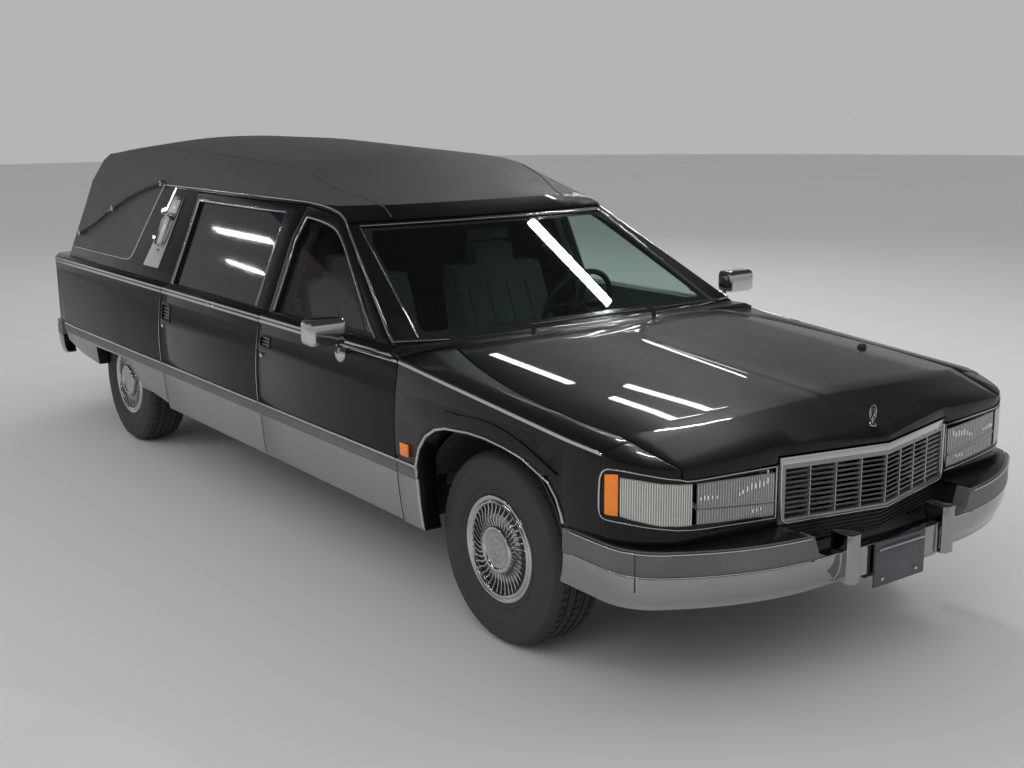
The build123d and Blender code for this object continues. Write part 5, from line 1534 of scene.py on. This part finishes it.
# Bright tubes under the ceiling: two ends, width and power; each draws a streak on paint or glass
CEILING_Z = 4.5
CEILING_TUBES = (
    (-5.44, 4.25, -4.17, 4.46, 0.16, 14),
    (-4.06, 5.17, -2.97, 5.68, 0.16, 14),
    (-3.69, 4.6, -2.6, 4.95, 0.16, 14),
    (-0.79, 2.89, -0.01, 3.4, 0.14, 60),
    (-14.6, -6.11, -12.6, -6.15, 0.14, 30),
    (-15.8, -7.1, -14.6, -7.25, 0.1, 20),
    (2.0, -6.5, 4.5, -6.5, 0.16, 18),
    (-2.5, -5.5, 0.0, -5.5, 0.16, 18),
)

# Soft light that shapes the car without showing in its gloss: place, aim, size and power
SOFT_LAMPS = (
    ("soft_key", (6.5, -6.5, 6.5), (0.8, 0.0, 0.6), 5.0, 230),
    ("soft_side", (-3.5, -8.5, 5.0), (-0.8, 0.0, 0.7), 5.0, 160),
    ("soft_rear", (-7.5, 5.5, 6.0), (-0.5, 0.0, 0.7), 5.0, 150),
    ("soft_far", (5.5, 7.0, 6.0), (0.8, 0.0, 0.7), 5.0, 130),
)


# The camera, solved from points of the photograph: yaw, pitch down and roll in degrees, and focal length in mm
CAMERA_PLACE = (5.633, -3.478, 1.962)
CAMERA_ANGLES = (143.94, 12.39, -0.54)
CAMERA_LENS = 45.72


def area_lamp(name, place, turn, length, width, power):
    """A flat lamp of a length and width."""
    data = bpy.data.lights.new(name, "AREA")
    data.shape = "RECTANGLE"
    data.size, data.size_y = length, width
    data.energy = power
    lamp = bpy.data.objects.new(name, data)
    bpy.context.scene.collection.objects.link(lamp)
    lamp.location = place
    lamp.rotation_euler = turn
    return lamp


class HEARSE_OT_stage(bpy.types.Operator):
    """Floor, light and camera"""

    bl_idname = "hearse.stage"
    bl_label = "Stage"

    def execute(self, context):
        scene = context.scene
        calm()
        bpy.ops.mesh.primitive_circle_add(vertices=96, radius=40, fill_type="NGON", location=(0, 0, -0.0005))
        ground = context.view_layer.objects.active
        ground.name = "studio_floor"
        bpy.ops.object.transform_apply(location=True, rotation=True, scale=True)
        ground.data.materials.append(finishes["Studio floor"])
        world = bpy.data.worlds.new("Studio")
        scene.world = world
        world.use_nodes = True
        nodes, link = world.node_tree.nodes, world.node_tree.links.new
        nodes.clear()
        out = nodes.new("ShaderNodeOutputWorld")
        mix = nodes.new("ShaderNodeMixShader")
        fill = nodes.new("ShaderNodeBackground")
        fill.inputs["Color"].default_value = (0.93, 0.95, 1.0, 1)
        fill.inputs["Strength"].default_value = 0.8
        # Pale walls all round under a dim ceiling
        shown = nodes.new("ShaderNodeBackground")
        shown.inputs["Strength"].default_value = 1.0
        heading = nodes.new("ShaderNodeTexCoord")
        split = nodes.new("ShaderNodeSeparateXYZ")
        ramp = nodes.new("ShaderNodeValToRGB")
        walls, ceiling = ramp.color_ramp.elements
        walls.position, walls.color = 0.1, (0.47, 0.46, 0.455, 1)
        ceiling.position, ceiling.color = 0.42, (0.045, 0.046, 0.05, 1)
        link(heading.outputs["Generated"], split.inputs[0])
        link(split.outputs["Z"], ramp.inputs["Fac"])
        link(ramp.outputs["Color"], shown.inputs["Color"])
        path = nodes.new("ShaderNodeLightPath")
        seen = path.outputs["Is Camera Ray"]
        for ray in ("Is Transmission Ray", "Is Glossy Ray"):
            either = nodes.new("ShaderNodeMath")
            either.operation = "MAXIMUM"
            link(seen, either.inputs[0])
            link(path.outputs[ray], either.inputs[1])
            seen = either.outputs[0]
        link(seen, mix.inputs["Fac"])
        link(fill.outputs[0], mix.inputs[1])
        link(shown.outputs[0], mix.inputs[2])
        link(mix.outputs[0], out.inputs["Surface"])
        for row, (x0, y0, x1, y1, width, power) in enumerate(CEILING_TUBES):
            place = ((x0 + x1) / 2, (y0 + y1) / 2, CEILING_Z)
            turn = (0, 0, math.atan2(y1 - y0, x1 - x0))
            area_lamp(f"ceiling_tube_{row}", place, turn, math.hypot(x1 - x0, y1 - y0), width, power)
        for name, place, aim, size, power in SOFT_LAMPS:
            turn = (Vector(aim) - Vector(place)).to_track_quat("-Z", "Y").to_euler()
            area_lamp(name, place, turn, size, size, power).visible_glossy = False
        scene.view_settings.view_transform = "Standard"
        yaw, pitch, roll = (math.radians(angle) for angle in CAMERA_ANGLES)
        forward = Vector((math.cos(yaw) * math.cos(pitch), math.sin(yaw) * math.cos(pitch), -math.sin(pitch)))
        right = forward.cross(Vector((0, 0, 1))).normalized()
        up = right.cross(forward)
        across = math.cos(roll) * right + math.sin(roll) * up
        upward = math.cos(roll) * up - math.sin(roll) * right
        data = bpy.data.cameras.new("photo_view")
        data.sensor_width = 36
        data.lens = CAMERA_LENS
        data.clip_end = 200
        camera = bpy.data.objects.new("photo_view", data)
        scene.collection.objects.link(camera)
        turn = Matrix((across, upward, -forward)).transposed().to_4x4()
        camera.matrix_world = Matrix.Translation(CAMERA_PLACE) @ turn
        scene.camera = camera
        return {"FINISHED"}


class HEARSE_PT_panel(bpy.types.Panel):
    """Hearse tools in the sidebar"""

    bl_label = "Hearse"
    bl_idname = "HEARSE_PT_panel"
    bl_space_type = "VIEW_3D"
    bl_region_type = "UI"
    bl_category = "Hearse"

    def draw(self, context):
        layout = self.layout
        for group in (context.scene.hearse_sizes, context.scene.hearse_colors):
            for key in group.__annotations__:
                layout.prop(group, key)
        for operator in OPERATORS:
            layout.operator(operator.bl_idname)


OPERATORS = (
    HEARSE_OT_finishes,
    HEARSE_OT_stage,
    HEARSE_OT_panels,
    HEARSE_OT_roof,
    HEARSE_OT_side_trim,
    HEARSE_OT_greenhouse_trim,
    HEARSE_OT_arches,
    HEARSE_OT_glass,
    HEARSE_OT_tyres,
    HEARSE_OT_wheels,
    HEARSE_OT_grille,
    HEARSE_OT_lamps,
    HEARSE_OT_bumpers,
    HEARSE_OT_ornaments,
    HEARSE_OT_fittings,
    HEARSE_OT_cabin,
)
CLASSES = (HearseSizes, HearseColors, *OPERATORS, HEARSE_PT_panel)


def register():
    for item in CLASSES:
        bpy.utils.register_class(item)
    bpy.types.Scene.hearse_sizes = bpy.props.PointerProperty(type=HearseSizes)
    bpy.types.Scene.hearse_colors = bpy.props.PointerProperty(type=HearseColors)


def unregister():
    del bpy.types.Scene.hearse_sizes
    del bpy.types.Scene.hearse_colors
    for item in reversed(CLASSES):
        bpy.utils.unregister_class(item)


def main():
    register()
    bpy.ops.hearse.finishes()
    bpy.ops.hearse.stage()
    bpy.ops.hearse.panels()
    bpy.ops.hearse.roof()
    bpy.ops.hearse.side_trim()
    bpy.ops.hearse.greenhouse_trim()
    bpy.ops.hearse.arches()
    bpy.ops.hearse.glass()
    bpy.ops.hearse.tyres()
    bpy.ops.hearse.wheels()
    bpy.ops.hearse.grille()
    bpy.ops.hearse.lamps()
    bpy.ops.hearse.bumpers()
    bpy.ops.hearse.ornaments()
    bpy.ops.hearse.fittings()
    bpy.ops.hearse.cabin()
    calm()


if __name__ == "__main__":
    main()
